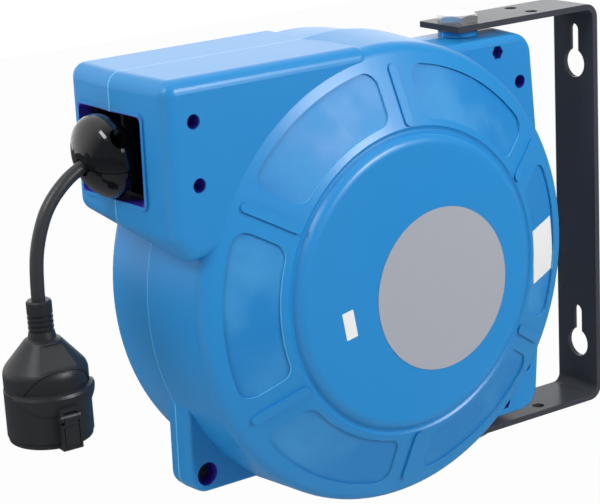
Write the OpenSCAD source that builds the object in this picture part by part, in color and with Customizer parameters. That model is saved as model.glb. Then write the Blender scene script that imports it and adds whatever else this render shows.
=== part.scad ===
// Wall-mounted spring-return cable reel: a two-part plastic housing that swivels
// in a bent steel bracket, a sprung drum with slip rings, a roller guide, a ball
// stop and a hanging cable with an earthed coupling socket.
// +Z is up, +X points to the wall, the front of the reel looks along -Y.
// The origin is on the wall face of the bracket, at the middle of its height.

/* [Wall bracket] */
// Width of the bent steel strap
strap_w = 38; // [30:1:46]
// Thickness of the strap
strap_t = 4; // [3:0.5:6]
// Inner radius of the two bends
bend_r = 6; // [4:1:10]
// Distance from the wall to the swivel axis
pivot_reach = 108; // [105:1:130]
// Strap left beyond the swivel axis
arm_tip = 16; // [15:1:22]
// Distance between the two keyholes
keyhole_pitch = 200; // [180:1:204]
// Height of the upper keyhole's round end
keyhole_z = 97; // [90:1:98]
// Diameter of a keyhole's round end
keyhole_d = 20; // [14:1:24]
// Width of a keyhole's slot
keyhole_slot_w = 9; // [6:0.5:12]
// Length of a keyhole's slot, centre to centre
keyhole_slot_l = 23; // [18:1:25]
// Diameter of the cable-hook holes in the arms
arm_hole_d = 8.5; // [5:0.5:11]
// Distance between the two holes of an arm
arm_hole_pitch = 20; // [16:1:24]
// Distance from the swivel axis to the holes of an arm
arm_hole_reach = 56; // [40:1:60]

/* [Swivel] */
// Diameter of the swivel bolts
bolt_d = 12; // [10:0.5:14]
// Length of a swivel bolt under its head
bolt_l = 46; // [42:1:48]
// Height of the bolt head
bolt_head_h = 5; // [4:0.5:8]
// Diameter of the collar on a swivel bush
collar_d = 26; // [22:1:28]
// Height of the collar on a swivel bush
collar_h = 3.5; // [3:0.5:6]
// Length of a swivel bush inside the housing
bush_l = 22; // [18:1:24]
// Thickness of the washer between bush and strap
swivel_washer_t = 1.5; // [1:0.5:3]

/* [Housing] */
// Radius of the round body at the seam
seam_r = 148; // [146:1:152]
// Draft of the round body from the seam to its rim
rim_draft = 2.5; // [1:0.5:4]
// Depth of the front shell from the seam to the centre disc
front_depth = 79; // [78:0.5:84]
// Height at which the rounded rim of the front shell starts
front_rim_w = 45; // [43:0.5:48]
// Radius of the rounded rim of the front shell
front_rim_fillet = 10; // [8:0.5:13]
// Slope of the front cone, in degrees
cone_slope = 24.9; // [22:0.1:26]
// Radius at which the cone ends in the groove round the disc
cone_r = 97; // [96:0.5:102]
// Radius of the raised centre disc
disc_r = 93; // [91.5:0.5:93.5]
// Depth of the rear shell from the seam
rear_depth = 50; // [49:0.5:54]
// Radius of the rounded rim of the rear shell
rear_rim_fillet = 9; // [6:0.5:12]
// Wall thickness of the shells
wall = 3; // [2.5:0.1:3.4]
// Half the height of the side block that carries the swivel
block_half_h = 131; // [129:1:135]
// Depth of the side block on either side of the seam
block_depth = 24; // [23:1:30]
// Corner radius of the side block
block_corner = 16; // [14:1:18]
// Depth of the recess of a front panel
panel_depth = 1.6; // [0.8:0.1:2]
// Half the width of a spoke between two panels
spoke_half_w = 13; // [11:0.5:16]
// Width of the rib on a spoke
spoke_rib_w = 6; // [4:0.5:8]
// Height of the rib on a spoke
spoke_rib_h = 1.6; // [0.8:0.1:2.4]
// How far the outlet box stands out beyond the round body
box_out = 18; // [16:0.5:22]
// How far the top of the outlet box lies below the top of the round body
box_drop = 2; // [1:0.5:4]
// Height of the underside of the outlet box at the seam
box_bottom = 50.5; // [48:0.5:53]
// How far the underside of the outlet box hangs lower at its front
box_slant = 13.5; // [8:0.5:15]
// Depth of the outlet box in front of the seam
box_front = 54.5; // [52:0.5:56]
// Edge radius of the outlet box
box_fillet = 9; // [7:0.5:10]

/* [Cable outlet] */
// Height of the cable above the drum axis
lead_z = 96.5; // [94:0.5:98]
// Distance of the cable behind the seam
lead_back = 3; // [1:0.5:4]
// Width of the outlet opening
mouth_w = 66; // [60:1:68]
// Height of the outlet opening
mouth_h = 53; // [52:0.5:56]
// Depth of the opening's lining, in front of the roller guide
mouth_depth = 11; // [8:0.5:12]
// Diameter of the cable
cable_d = 8.3; // [7.5:0.1:8.4]
// Diameter of a guide roller
roller_d = 12; // [10:0.5:13]
// Diameter of a guide roller's pin
roller_pin_d = 4; // [3:0.5:5]

/* [Ball stop] */
// Diameter of the ball stop across the cable
ball_d = 52; // [50:0.5:53]
// Thickness of the ball stop along the cable
ball_t = 34; // [32:0.5:35]
// Radius of the ball stop's two faces
ball_face_r = 33; // [31:0.5:36]
// How far the middle of the ball stop stands out of the box
ball_out = 3.5; // [3:0.5:8]
// Turn of the ball's parting plane about the cable, in degrees
ball_turn = 12; // [0:1:25]
// Tilt of the ball stop, outer end down, in degrees
ball_tilt = 12; // [0:1:14]

/* [Drum] */
// Diameter of the axle
axle_d = 16; // [14:0.5:18]
// Outer radius of the drum's barrel
barrel_r = 66; // [62:1:70]
// Radius of the drum's flanges
flange_r = 126; // [118:1:132]
// Thickness of a flange
flange_t = 3; // [2.5:0.1:3.5]
// Width between the flanges
winding_w = 66; // [64:0.5:68]
// Turns of cable in the outer layer
winding_turns = 6; // [4:1:6]
// Outer radius of the spring case
case_r = 83; // [76:1:84]
// Depth of the spring case
case_h = 36; // [32:1:37]
// Coils of the return spring
spring_coils = 7; // [4:1:9]
// Teeth of the ratchet ring
ratchet_teeth = 16; // [10:1:20]
// Diameter of a slip ring
slip_d = 52; // [44:1:56]

/* [Coupling socket] */
// Diameter of the coupling's body
socket_d = 50.5; // [50:0.5:56]
// Length of the coupling's body with its cone
socket_l = 57; // [54:1:66]
// Length of the coupling's cable collar
socket_collar_l = 24; // [18:1:26]
// Diameter of the coupling's cable collar
socket_collar_d = 15.2; // [13:0.2:18]
// Length of the cone between collar and body
socket_cone_l = 20; // [16:1:24]
// Width of the hinge leg of the socket's lid
leg_w = 12.6; // [11:0.2:14]
// Diameter of the socket's recess
recess_d = 39; // [38.5:0.1:40]
// Depth of the socket's recess
recess_l = 17.5; // [16.5:0.1:18.5]
// Distance between the two live contacts
contact_pitch = 19; // [18.8:0.1:19.2]
// Lean of the hanging coupling, in degrees
socket_lean = 1.5; // [0:0.5:6]
// Turn of the coupling about the cable, in degrees
socket_turn = 5; // [0:1:15]

/* [Hidden] */
$fn = 96;
eps = 0.01;

// Clearances
run_gap = 0.05;      // radial, a shaft that turns in its bore
bolt_gap = 0.2;      // radial, a screw in its hole
face_gap = 0.3;      // between faces that pass each other
seat_gap = 0.1;      // between seated faces

// Distance from the swivel axis to the drum axis
pivot_inset = 44;
pivot_to_drum = seam_r - pivot_inset;
drum_x = -(pivot_reach + pivot_to_drum);
arm_z = block_half_h + collar_h + swivel_washer_t;
bracket_half_h = arm_z + strap_t;

// Front of the shell, radius and height along the drum axis; the rear shell stands
// back from it at the seam
rim_r = seam_r - rim_draft;
seam_step = 1;
rear_r = seam_r - seam_step;
rear_rim_r = rear_r - rim_draft;
rim_c = rim_r - front_rim_fillet;
cone_top = [rim_c + front_rim_fillet * sin(cone_slope), front_rim_w + front_rim_fillet * cos(cone_slope)];
cone_tan = tan(cone_slope);
function cone_w(r) = cone_top[1] + (cone_top[0] - r) * cone_tan;
// Shoulder of the disc, and the soft valley between it and the cone
disc_fillet = 6.8;
valley_r = 2.4;
valley_turn = 20;
shoulder = [disc_r - disc_fillet, front_depth - disc_fillet];
valley = shoulder + (disc_fillet + valley_r) * [cos(valley_turn), sin(valley_turn)];
groove_w = valley[1] - valley_r;
panel_r = [cone_r + 4, cone_top[0] - 6.7];
panel_corner = 9;

// Outlet box, lug and screw places, in the drum's own plane
box_reach = seam_r + box_out;
box_draft = 3;
box_top = seam_r - box_drop;
lug_turn = -137.5;
lug_c = (seam_r + 15.5) * [cos(lug_turn), sin(lug_turn)];
lug_r = 12;
lug_front = 14;
lug_rear = 9;
lug_recess_d = 15;
recess_hole_d = 9;
box_screws = [[22 - box_reach, lead_z + 24.5], [24 - box_reach, lead_z - 13.5]];
block_screws = [for (s = [1, -1]) [seam_r - 12, s * (block_half_h - 33)]];
block_nuts = [for (s = [1, -1]) [seam_r - 31, s * (block_half_h - 11)]];
screw_d = 5;
screw_head_d = 8.4;
screw_head_h = 3.5;
screw_boss_r = 7.5;
nut_floor = 12;
nut_af = 8;
nut_h = 4;
nut_gap = 0.15;

// Inside stations along the drum axis, positive to the front
lead_w = -lead_back;
wind_rear = lead_w - winding_w / 2;
wind_front = lead_w + winding_w / 2;
case_base = wind_front + flange_t + seat_gap;
case_top = case_base + case_h;
case_wall = 2;
web_w = -8;
web_t = 4;
boss_r = 16;
bush_r = 11;
rear_inner = -(rear_depth - wall);
front_inner = front_depth - wall;
axle_rear = -(rear_depth + 3);
axle_front = front_inner - 0.5;
shoulder_r = 11;
axle_nut_af = 1.5 * axle_d;

// Cable on the drum
layer_rings = 24;
layer_pitch = cable_d + 0.6;
layer_r = lead_z - cable_d - 0.5;
core_r = layer_r * cos(180 / layer_rings) - cable_d / 2 - seat_gap;

// Roller guide, distances from the drum axis
box_wall = wall + 1;
frame_u0 = box_reach - mouth_depth;
frame_wall = 4;
frame_half = [mouth_w / 2 - 5, mouth_h / 2 - 2.9];
roller_gap = 0.5;
roller_off = cable_d / 2 + roller_gap + roller_d / 2;
upright_u = frame_u0 - roller_d / 2 - 5.5;
cross_u = upright_u - roller_d - 3;
frame_u1 = cross_u - roller_d / 2 - 4.5;
// Outer faces of the guide, where the bosses of the shells meet it
guide_w = lead_w + frame_half[0] + frame_wall + seat_gap;
guide_back_w = guide_w - 2 * lead_w;
// Length of the lead inside the ball, up to the start of the hanging cable
lead_start = 3;
ball_reach = box_reach + ball_out;

// Hanging cable, its centre line from the middle of the ball: along X and up
tail_route = [
    [-4, 0], [-8.5, -0.6], [-13.5, -2], [-20, -4.5], [-27.5, -8.5], [-34, -13.5], [-40, -19.5],
    [-45, -26.5], [-48.5, -34], [-51.2, -42], [-53, -50], [-53.9, -58.5], [-54.2, -66],
    [-54.3, -73]
];
tail_end = tail_route[len(tail_route) - 1] + 4 * [sin(socket_lean), -cos(socket_lean)];
tail_steps = 2;
tail_sides = 10;

// Coupling, downwards from the top of its collar; the hinge of its lid is on the -Y side
socket_r = socket_d / 2;
cup_r = socket_r + 0.4;
cone_z = -(socket_collar_l + socket_cone_l);
crease_z = cone_z - 8.5;
face_z = -(socket_collar_l + socket_l);
hinge_pin_d = 2.4;
knuckle_r = 3;
hinge_y = -(cup_r + 0.9);
hinge_z = face_z + 15.8;
knuckle_half = leg_w / 2 - 2.1;
leg_y = [hinge_y - knuckle_r, hinge_y + 0.5];
lid_t = 3;
lid_r = cup_r - 0.7;
insert_t = 6;

// Pawl and ratchet
ratchet_r = [54, 62];
ratchet_w = [-40.5, -44.5];
pawl_at = [0, -(ratchet_r[1] + 12)];
pawl_pin_d = 4;
pawl_rest = 10;

// Reset button and thermal cut-out
reset_at = (seam_r - 60.3) * [cos(45), sin(45)];
button_d = 10;
button_travel = 3;
gland_at = [40, 53 - seam_r];

blue = "#2b86cf";
black = "#1d1d20";
steel = "#b9bdc2";
brass = "#c9a24a";
nylon = "#e8e6df";

// ---- helpers ----

// Puts what is drawn in the drum's plane (u right, v up, w to the front) in its place
module on_axis() {
    translate([drum_x, 0, 0]) rotate([90, 0, 0]) children();
}

// Same for what is drawn from the swivel axis
module at_pivot(side) {
    translate([-pivot_reach, 0, 0]) mirror([0, 0, side < 0 ? 1 : 0]) children();
}

function arc(cx, cy, r, a0, a1, n) =
    [for (i = [0 : n]) let (a = a0 + (a1 - a0) * i / n) [cx + r * cos(a), cy + r * sin(a)]];

function unit(v) = v / norm(v);

function mirrored(p) = [for (i = [len(p) - 1 : -1 : 0]) [p[i][0], -p[i][1]]];

// Point on a smooth curve through four points
function curve(a, b, c, d, t) =
    b + t / 2 * ((c - a) + t * ((2 * a - 5 * b + 4 * c - d) + t * (3 * (b - c) + d - a)));

function smooth(p, steps) = let (n = len(p)) concat(
    [for (i = [0 : n - 2], k = [0 : steps - 1])
        curve(p[max(i - 1, 0)], p[i], p[i + 1], p[min(i + 2, n - 1)], k / steps)],
    [p[n - 1]]);

// Round tube along a path; ref is a direction that the path never runs along
module tube(path, r, sides, ref) {
    n = len(path);
    dirs = [for (i = [0 : n - 1]) unit(path[min(i + 1, n - 1)] - path[max(i - 1, 0)])];
    ring_pts = [for (i = [0 : n - 1])
        let (a = unit(cross(dirs[i], ref)), b = cross(dirs[i], a))
        for (j = [0 : sides - 1])
            let (q = 360 * j / sides) path[i] + r * (cos(q) * a + sin(q) * b)];
    walls = [for (i = [0 : n - 2], j = [0 : sides - 1], half = [0, 1])
        let (p = i * sides + j, q = i * sides + (j + 1) % sides)
        half == 0 ? [p, q + sides, q] : [p, p + sides, q + sides]];
    caps = [for (j = [1 : sides - 2], end = [0, 1])
        end == 0 ? [0, j, j + 1]
            : [(n - 1) * sides, (n - 1) * sides + j + 1, (n - 1) * sides + j]];
    polyhedron(points = ring_pts, faces = concat(walls, caps), convexity = 10);
}

// Cylinder whose far edge is rounded by f and whose side drafts in by d
module puck(r, h, f, d) {
    rotate_extrude($fn = 32)
        polygon(concat([[0, 0], [r, 0]], arc(r - d - f, h - f, f, 0, 90, 4), [[0, h]]));
}

module ring(r_out, r_in, h) {
    difference() {
        cylinder(r = r_out, h = h);
        translate([0, 0, -1]) cylinder(r = r_in, h = h + 2);
    }
}

// Pan-head screw, head down to z = 0, shank towards -z
module screw(d, l, head_d, head_h) {
    cylinder(d = head_d, h = head_h);
    translate([0, 0, -l]) cylinder(d = d, h = l + eps);
}

module hex_nut(af, h, bore) {
    difference() {
        cylinder(r = af / 2 / cos(30), h = h, $fn = 6);
        translate([0, 0, -1]) cylinder(d = bore, h = h + 2);
    }
}

// Rounded square of half sizes a and b
module soft_square(a, b, r) {
    square([2 * a, 2 * (b - r)], center = true);
    square([2 * (a - r), 2 * b], center = true);
    for (i = [-1, 1], j = [-1, 1]) translate([i * (a - r), j * (b - r)]) circle(r);
}

// ---- wall bracket ----

module bracket_profile() {
    bend_out = bend_r + strap_t;
    translate([-strap_t, -(bracket_half_h - bend_out)])
        square([strap_t, 2 * (bracket_half_h - bend_out)]);
    for (s = [0, 1]) mirror([0, s]) {
        translate([-(pivot_reach + arm_tip), arm_z])
            square([pivot_reach + arm_tip - bend_out, strap_t]);
        intersection() {
            translate([-bend_out, bracket_half_h - bend_out]) difference() {
                circle(bend_out);
                circle(bend_r);
            }
            translate([-bend_out, bracket_half_h - bend_out]) square(bend_out);
        }
    }
}

module keyhole() {
    rotate([0, 90, 0]) {
        cylinder(d = keyhole_d, h = 4 * strap_t, center = true);
        translate([-keyhole_slot_l, 0, 0])
            cylinder(d = keyhole_slot_w, h = 4 * strap_t, center = true);
        translate([-keyhole_slot_l / 2, 0, 0])
            cube([keyhole_slot_l, keyhole_slot_w, 4 * strap_t], center = true);
    }
}

module wall_bracket() {
    color("#202226") difference() {
        rotate([90, 0, 0]) linear_extrude(strap_w, center = true) bracket_profile();
        for (z = [keyhole_z, keyhole_z - keyhole_pitch]) translate([0, 0, z]) keyhole();
        for (side = [-1, 1]) at_pivot(side) {
            translate([0, 0, arm_z - 1]) cylinder(r = bolt_d / 2 + bolt_gap, h = strap_t + 2);
            for (y = [-0.5, 0.5])
                translate([arm_hole_reach, y * arm_hole_pitch, arm_z - 1])
                    cylinder(d = arm_hole_d, h = strap_t + 2);
        }
    }
}

// Chamfered hexagon head on a plain shank
module pivot_bolts() {
    head_r = 24 / 2 / cos(30);
    color(steel) for (side = [-1, 1]) at_pivot(side) {
        translate([0, 0, bracket_half_h]) intersection() {
            cylinder(r = head_r, h = bolt_head_h, $fn = 6);
            rotate_extrude() polygon([[0, 0], [head_r, 0], [head_r, bolt_head_h - 1.4],
                [head_r - 2.4, bolt_head_h], [0, bolt_head_h]]);
        }
        translate([0, 0, bracket_half_h - bolt_l]) cylinder(d = bolt_d, h = bolt_l + eps);
    }
}

module pivot_washers() {
    color(nylon) for (side = [-1, 1]) at_pivot(side)
        translate([0, 0, block_half_h + collar_h + seat_gap])
            ring(collar_d / 2 - 1, bolt_d / 2 + bolt_gap, swivel_washer_t - 2 * seat_gap);
}

// The nuts sit under the bushes, inside the housing
nut_z = block_half_h - bush_l - face_gap;
module pivot_nuts() {
    color(steel) for (side = [-1, 1]) at_pivot(side)
        translate([0, 0, nut_z - 8]) hex_nut(18, 8, bolt_d + 2 * run_gap);
}

// ---- shells ----

function front_profile() = concat(
    [[0, 0], [seam_r, 0]],
    arc(rim_c, front_rim_w, front_rim_fillet, 0, 90 - cone_slope, 8),
    [[cone_r, cone_w(cone_r)]],
    arc(valley[0], valley[1], valley_r, -50, valley_turn - 180, 5),
    arc(shoulder[0], shoulder[1], disc_fillet, valley_turn + 10, 90, 6),
    [[0, front_depth]]);

function front_cavity() = let (slope_wall = wall / cos(cone_slope)) concat(
    [[0, -1], [seam_r - wall, -1]],
    arc(rim_c, front_rim_w, front_rim_fillet - wall, 0, 90 - cone_slope, 4),
    [[cone_r + 2, cone_w(cone_r + 2) - slope_wall], [cone_r + 0.5, groove_w - wall],
     [disc_r - wall - 2.5, groove_w - wall], [disc_r - wall - 2.5, front_inner - 1.5],
     [disc_r - wall - 4, front_inner], [0, front_inner]]);

function rear_profile() = concat(
    [[0, 0], [rear_r, 0]],
    arc(rear_rim_r - rear_rim_fillet, rear_depth - rear_rim_fillet, rear_rim_fillet, 0, 90, 8),
    [[0, rear_depth]]);

function rear_cavity() = concat(
    [[0, -1], [rear_r - wall, -1]],
    arc(rear_rim_r - rear_rim_fillet, rear_depth - rear_rim_fillet, rear_rim_fillet - wall,
        0, 90, 4),
    [[0, rear_depth - wall]]);

// Outline of one front panel, lying along +u between two spokes
function panel_outline() = let (
    half = 30, c = panel_corner, y = spoke_half_w + c,
    far = sqrt(pow(panel_r[1] - c, 2) - y * y), near = sqrt(pow(panel_r[0] + c, 2) - y * y),
    along = [cos(half), sin(half)], across = [sin(half), -cos(half)],
    pf = far * along + y * across, pn = near * along + y * across,
    af = atan2(pf[1], pf[0]), an = atan2(pn[1], pn[0]),
    upper = concat(
        arc(0, 0, panel_r[1], 0, af, 6), arc(pf[0], pf[1], c, af, 90 + half, 6),
        arc(pn[0], pn[1], c, 90 + half, an + 180, 6), arc(0, 0, panel_r[0], an, 0, 6)))
    concat(upper, mirrored(upper));

// Band along the front cone, from lo to hi above its surface
module cone_band(lo, hi) {
    r0 = panel_r[0] - 8;
    r1 = cone_top[0];
    rotate_extrude() polygon([[r0, cone_w(r0) + lo], [r1, cone_w(r1) + lo],
        [r1, cone_w(r1) + hi], [r0, cone_w(r0) + hi]]);
}

module panels() {
    intersection() {
        cone_band(-panel_depth, 6);
        linear_extrude(front_depth + 10)
            for (i = [0 : 5]) rotate(60 * i) polygon(panel_outline());
    }
}

module spoke_ribs() {
    intersection() {
        cone_band(-1, spoke_rib_h);
        linear_extrude(front_depth + 10) for (i = [0 : 5]) rotate(30 + 60 * i) {
            translate([panel_r[0], -spoke_rib_w / 2])
                square([panel_r[1] - panel_r[0] - 2, spoke_rib_w]);
            translate([panel_r[0], 0]) circle(d = spoke_rib_w);
            translate([panel_r[1] - 2, 0]) circle(d = spoke_rib_w);
        }
    }
}

// The outlet box on one side of the seam, to depth h, or its room, t inside its skin;
// dips are how far its lower edge and its lobe hang below the seam at that depth
module outlet_box(h, dips, t = 0) {
    f = box_fillet;
    low = box_fillet + 1;
    left = -box_reach;
    top = box_top - f;
    hull() {
        for (c = [[left + f, top, f], [left + low, box_bottom + low, low],
                  [left + 26, box_bottom + low - 6, low], [-20, top, f],
                  [left + 56, box_bottom + low - 8, low]])
            translate([c[0], c[1], t > 0 ? -1 : 0]) cylinder(r = c[2] - t, h = eps, $fn = 32);
        for (c = [[left + f + box_draft, top], [left + low + box_draft, box_bottom + f - dips[0]],
                  [left + 20, box_bottom + f - dips[1]], [-20, top],
                  [left + 56, box_bottom + f - 9.5]])
            translate([c[0], c[1], h - f]) sphere(f - t, $fn = 32);
    }
}
box_front_dips = [box_slant / 3, box_slant];
box_rear_dips = [-3.5, 1];

// Lining of the outlet opening, on one side of the seam
module mouth_lining(side) {
    deep = mouth_depth - 1 - face_gap;
    intersection() {
        translate([1 - box_reach, lead_z, lead_w]) rotate([0, 90, 0])
            linear_extrude(deep) soft_square(mouth_w / 2 + 2.5, mouth_h / 2 + 2.5, 5);
        translate([-box_reach - 50, 0, side > 0 ? 0 : -200]) cube([100, 200, 200]);
    }
}

module side_block(h) {
    c = block_corner;
    hull() for (p = [[40, block_half_h - c], [seam_r + 1 - c, block_half_h - c], [seam_r + 5 - c, 62]],
            v = [-1, 1])
        translate([p[0], v * p[1], 0]) puck(c, h, 5, 1);
}

module lug(h) {
    hull() for (c = [[0, 0], [0, 45], [55, 0]])
        translate([lug_c[0] + c[0], lug_c[1] + c[1], 0]) puck(lug_r, h, 2, 0.5);
}

// Room beside the drum in the side block, left solid round the swivel and screws
module block_room(h) {
    t = wall + 1;
    difference() {
        translate([(40 + seam_r) / 2, 0, -1]) linear_extrude(h - t + 1)
            soft_square((seam_r - 40) / 2 - t, block_half_h - t, block_corner - t);
        for (c = concat(block_screws, block_nuts))
            translate([c[0], c[1], -2]) cylinder(r = screw_boss_r, h = h);
        for (s = [-1, 1]) translate([pivot_to_drum, s * (block_half_h - bush_l / 2), 0])
            cube([40, bush_l + 4, 80], center = true);
    }
}

// Everything that both shells lose round the swivel axis
module swivel_room() {
    translate([pivot_to_drum, 0, 0]) rotate([-90, 0, 0]) for (s = [0, 1]) mirror([0, 0, s]) {
        translate([0, 0, block_half_h - bush_l - seat_gap])
            cylinder(r = 10 + seat_gap, h = bush_l + 2);
        translate([0, 0, block_half_h - bush_l - 40]) cylinder(r = 13, h = 40);
    }
}

// One shell up to the seam, before its own holes
module shell_blank(profile, box_h, dips, lug_h) {
    rotate_extrude($fn = 180) polygon(profile);
    outlet_box(box_h, dips);
    side_block(block_depth);
    lug(lug_h);
}

module shell_room(profile, box_h, dips, boss_from) {
    rotate_extrude($fn = 180) polygon(profile);
    difference() {
        outlet_box(box_h, dips, box_wall);
        for (c = box_screws) translate([c[0], c[1], boss_from])
            cylinder(r = screw_boss_r, h = box_h);
    }
    block_room(block_depth);
}

module mouth_cut() {
    translate([-box_reach - 5, lead_z, lead_w]) rotate([0, 90, 0])
        linear_extrude(mouth_depth + 5) soft_square(mouth_w / 2, mouth_h / 2, 4);
}

module front_shell() {
    color(blue) on_axis() {
        difference() {
            union() {
                difference() {
                    shell_blank(front_profile(), box_front, box_front_dips, lug_front);
                    shell_room(front_cavity(), box_front, box_front_dips, guide_w);
                }
                mouth_lining(1);
            }
            panels();
            swivel_room();
            mouth_cut();
            for (c = box_screws) translate([c[0], c[1], 0]) {
                translate([0, 0, guide_w - 1]) cylinder(r = screw_d / 2 + bolt_gap, h = 60);
                translate([0, 0, box_front - 14]) cylinder(d = recess_hole_d, h = 60);
            }
            for (c = block_screws) translate([c[0], c[1], 0]) {
                translate([0, 0, -1]) cylinder(r = screw_d / 2 + bolt_gap, h = 60);
                translate([0, 0, nut_floor]) cylinder(d = recess_hole_d, h = 60);
            }
            for (c = block_nuts) translate([c[0], c[1], 0]) {
                translate([0, 0, -1]) cylinder(r = screw_d / 2 + bolt_gap, h = 60);
                translate([0, 0, nut_floor])
                    cylinder(r = (nut_af / 2 + nut_gap) / cos(30), h = 60, $fn = 6);
            }
            translate([lug_c[0], lug_c[1], 0]) {
                translate([0, 0, -1]) cylinder(r = screw_d / 2 + bolt_gap, h = 60);
                translate([0, 0, 4]) cylinder(d = lug_recess_d, h = 60);
            }
        }
        spoke_ribs();
        // Socket for the front end of the axle
        translate([0, 0, case_top + face_gap + 1]) ring(axle_d / 2 + 4, axle_d / 2 + run_gap,
            front_inner - case_top - face_gap - 1 + eps);
    }
}

module rear_shell() {
    boss_h = 6;
    color(blue) on_axis() mirror([0, 0, 1]) {
        difference() {
            union() {
                difference() {
                    shell_blank(rear_profile(), rear_depth, box_rear_dips, lug_rear);
                    shell_room(rear_cavity(), rear_depth, box_rear_dips, guide_back_w);
                }
                // Boss of the axle, and lining of the outlet
                cylinder(r = axle_d / 2 + 8, h = rear_depth);
                mirror([0, 0, 1]) mouth_lining(-1);
            }
            translate([0, 0, -1]) cylinder(r = axle_d / 2 + 12, h = -rear_inner - boss_h + 1);
            translate([0, 0, -1]) cylinder(r = axle_d / 2 + run_gap, h = 90);
            mirror([0, 0, 1]) swivel_room();
            mirror([0, 0, 1]) mouth_cut();
            for (c = concat(block_screws, [lug_c])) translate([c[0], c[1], -1])
                cylinder(d = screw_d + 2 * run_gap, h = c == lug_c ? 8 : block_depth - 4);
            for (c = box_screws) translate([c[0], c[1], 0]) {
                translate([0, 0, guide_back_w - 1]) cylinder(r = screw_d / 2 + bolt_gap, h = 60);
                translate([0, 0, rear_depth - 7]) cylinder(d = recess_hole_d, h = 60);
            }
            for (c = block_nuts) translate([c[0], c[1], 0]) {
                translate([0, 0, -1]) cylinder(r = screw_d / 2 + bolt_gap, h = 60);
                translate([0, 0, block_depth - 8]) cylinder(d = recess_hole_d, h = 30);
            }
            // Ring groove of the back
            translate([0, 0, rear_depth - 1.2]) ring(seam_r - 36, seam_r - 42, 5);
            // Holes of the reset button, the gland and the pawl pin
            translate([reset_at[0], reset_at[1], 0]) cylinder(d = button_d + 2 * face_gap, h = 90);
            translate([gland_at[0], gland_at[1], 0]) cylinder(d = 16.4, h = 90);
        }
    }
}

module pivot_bushes() {
    color("#2479c4") for (side = [-1, 1]) at_pivot(side) difference() {
        union() {
            translate([0, 0, block_half_h]) cylinder(d = collar_d, h = collar_h);
            translate([0, 0, block_half_h - bush_l]) cylinder(r = 10, h = bush_l + eps);
        }
        translate([0, 0, block_half_h - bush_l - 1])
            cylinder(r = bolt_d / 2 + run_gap, h = bush_l + collar_h + 2);
    }
}

module shell_screws() {
    color(steel) on_axis() {
        for (c = box_screws) translate([c[0], c[1], 0]) {
            translate([0, 0, box_front - 14])
                screw(screw_d, box_front - 14 - guide_w + frame_wall, screw_head_d, screw_head_h);
            mirror([0, 0, 1]) translate([0, 0, rear_depth - 7])
                screw(screw_d, rear_depth - 7 - guide_back_w + frame_wall, screw_head_d, screw_head_h);
        }
        for (c = block_screws) translate([c[0], c[1], nut_floor])
            screw(screw_d, nut_floor + block_depth - 8, screw_head_d, screw_head_h);
        translate([lug_c[0], lug_c[1], 4]) screw(screw_d, 10, 9.5, screw_head_h);
        for (c = block_nuts) translate([c[0], c[1], -(block_depth - 8)]) mirror([0, 0, 1])
            screw(screw_d, nut_floor + block_depth - 8 + nut_h, screw_head_d, screw_head_h);
    }
}

module shell_nuts() {
    color(steel) on_axis() for (c = block_nuts) translate([c[0], c[1], nut_floor])
        hex_nut(nut_af, nut_h, screw_d + 2 * run_gap);
}

label_r = 51.5;
label_at = [18, -7];
module front_label() {
    color("#c3c4cc") on_axis() translate([label_at[0], label_at[1], front_depth])
        cylinder(r = label_r, h = 0.4);
}

// ---- axle and guide ----

module axle() {
    flange_w = -(rear_depth - wall - 6);
    color(steel) on_axis() {
        translate([0, 0, axle_rear - 9]) cylinder(d = axle_d, h = axle_front - axle_rear + 9);
        translate([0, 0, flange_w]) cylinder(r = shoulder_r, h = 3);
    }
}

module axle_nut() {
    color(steel) on_axis() translate([0, 0, -rear_depth]) mirror([0, 0, 1]) {
        ring(axle_nut_af / 2 + 3, axle_d / 2 + run_gap, 1.6);
        translate([0, 0, 1.6]) hex_nut(axle_nut_af, axle_d / 2, axle_d + 2 * run_gap);
    }
}

module guide_frame() {
    a = frame_half[0];
    b = frame_half[1];
    t = frame_wall;
    len_u = frame_u0 - frame_u1;
    color(black) on_axis() translate([-frame_u0, lead_z, lead_w]) difference() {
        union() {
            rotate([0, 90, 0]) linear_extrude(len_u) soft_square(a + t, b + t, 3);
            rotate([0, 90, 0]) linear_extrude(3) soft_square(a + t + 5, b + t + 3, 3);
        }
        translate([-1, 0, 0]) rotate([0, 90, 0]) linear_extrude(len_u + 2) soft_square(a, b, 2);
        for (s = [-1, 1]) {
            translate([frame_u0 - cross_u, s * roller_off, 0])
                cylinder(d = roller_pin_d + 2 * run_gap, h = 90, center = true);
            translate([frame_u0 - upright_u, 0, s * roller_off]) rotate([90, 0, 0])
                cylinder(d = roller_pin_d + 2 * run_gap, h = 90, center = true);
            // Pilot holes of the screws that hold it between the shells
            for (c = box_screws) translate([frame_u0 + c[0], c[1] - lead_z, s * (a + t / 2)])
                cylinder(d = screw_d + 2 * run_gap, h = t + 2, center = true);
        }
    }
}

// Puts a child, drawn along z, on a cross roller's or an upright roller's axis
module on_cross(s) {
    on_axis() translate([-cross_u, lead_z + s * roller_off, lead_w]) children();
}

module on_upright(s) {
    on_axis() translate([-upright_u, lead_z, lead_w + s * roller_off]) rotate([90, 0, 0])
        children();
}

module roller_pins() {
    color(steel) for (s = [-1, 1]) {
        on_cross(s) cylinder(d = roller_pin_d, h = 2 * (frame_half[0] + frame_wall), center = true);
        on_upright(s)
            cylinder(d = roller_pin_d, h = 2 * (frame_half[1] + frame_wall), center = true);
    }
}

// Roller with a slightly waisted middle
module roller(len) {
    r = roller_d / 2;
    rotate_extrude() polygon([[roller_pin_d / 2 + run_gap, -len / 2], [r - 0.6, -len / 2],
        [r, -len / 2 + 0.6], [r, -len / 4], [r - 0.4, 0], [r, len / 4], [r, len / 2 - 0.6],
        [r - 0.6, len / 2], [roller_pin_d / 2 + run_gap, len / 2]]);
}

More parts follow.
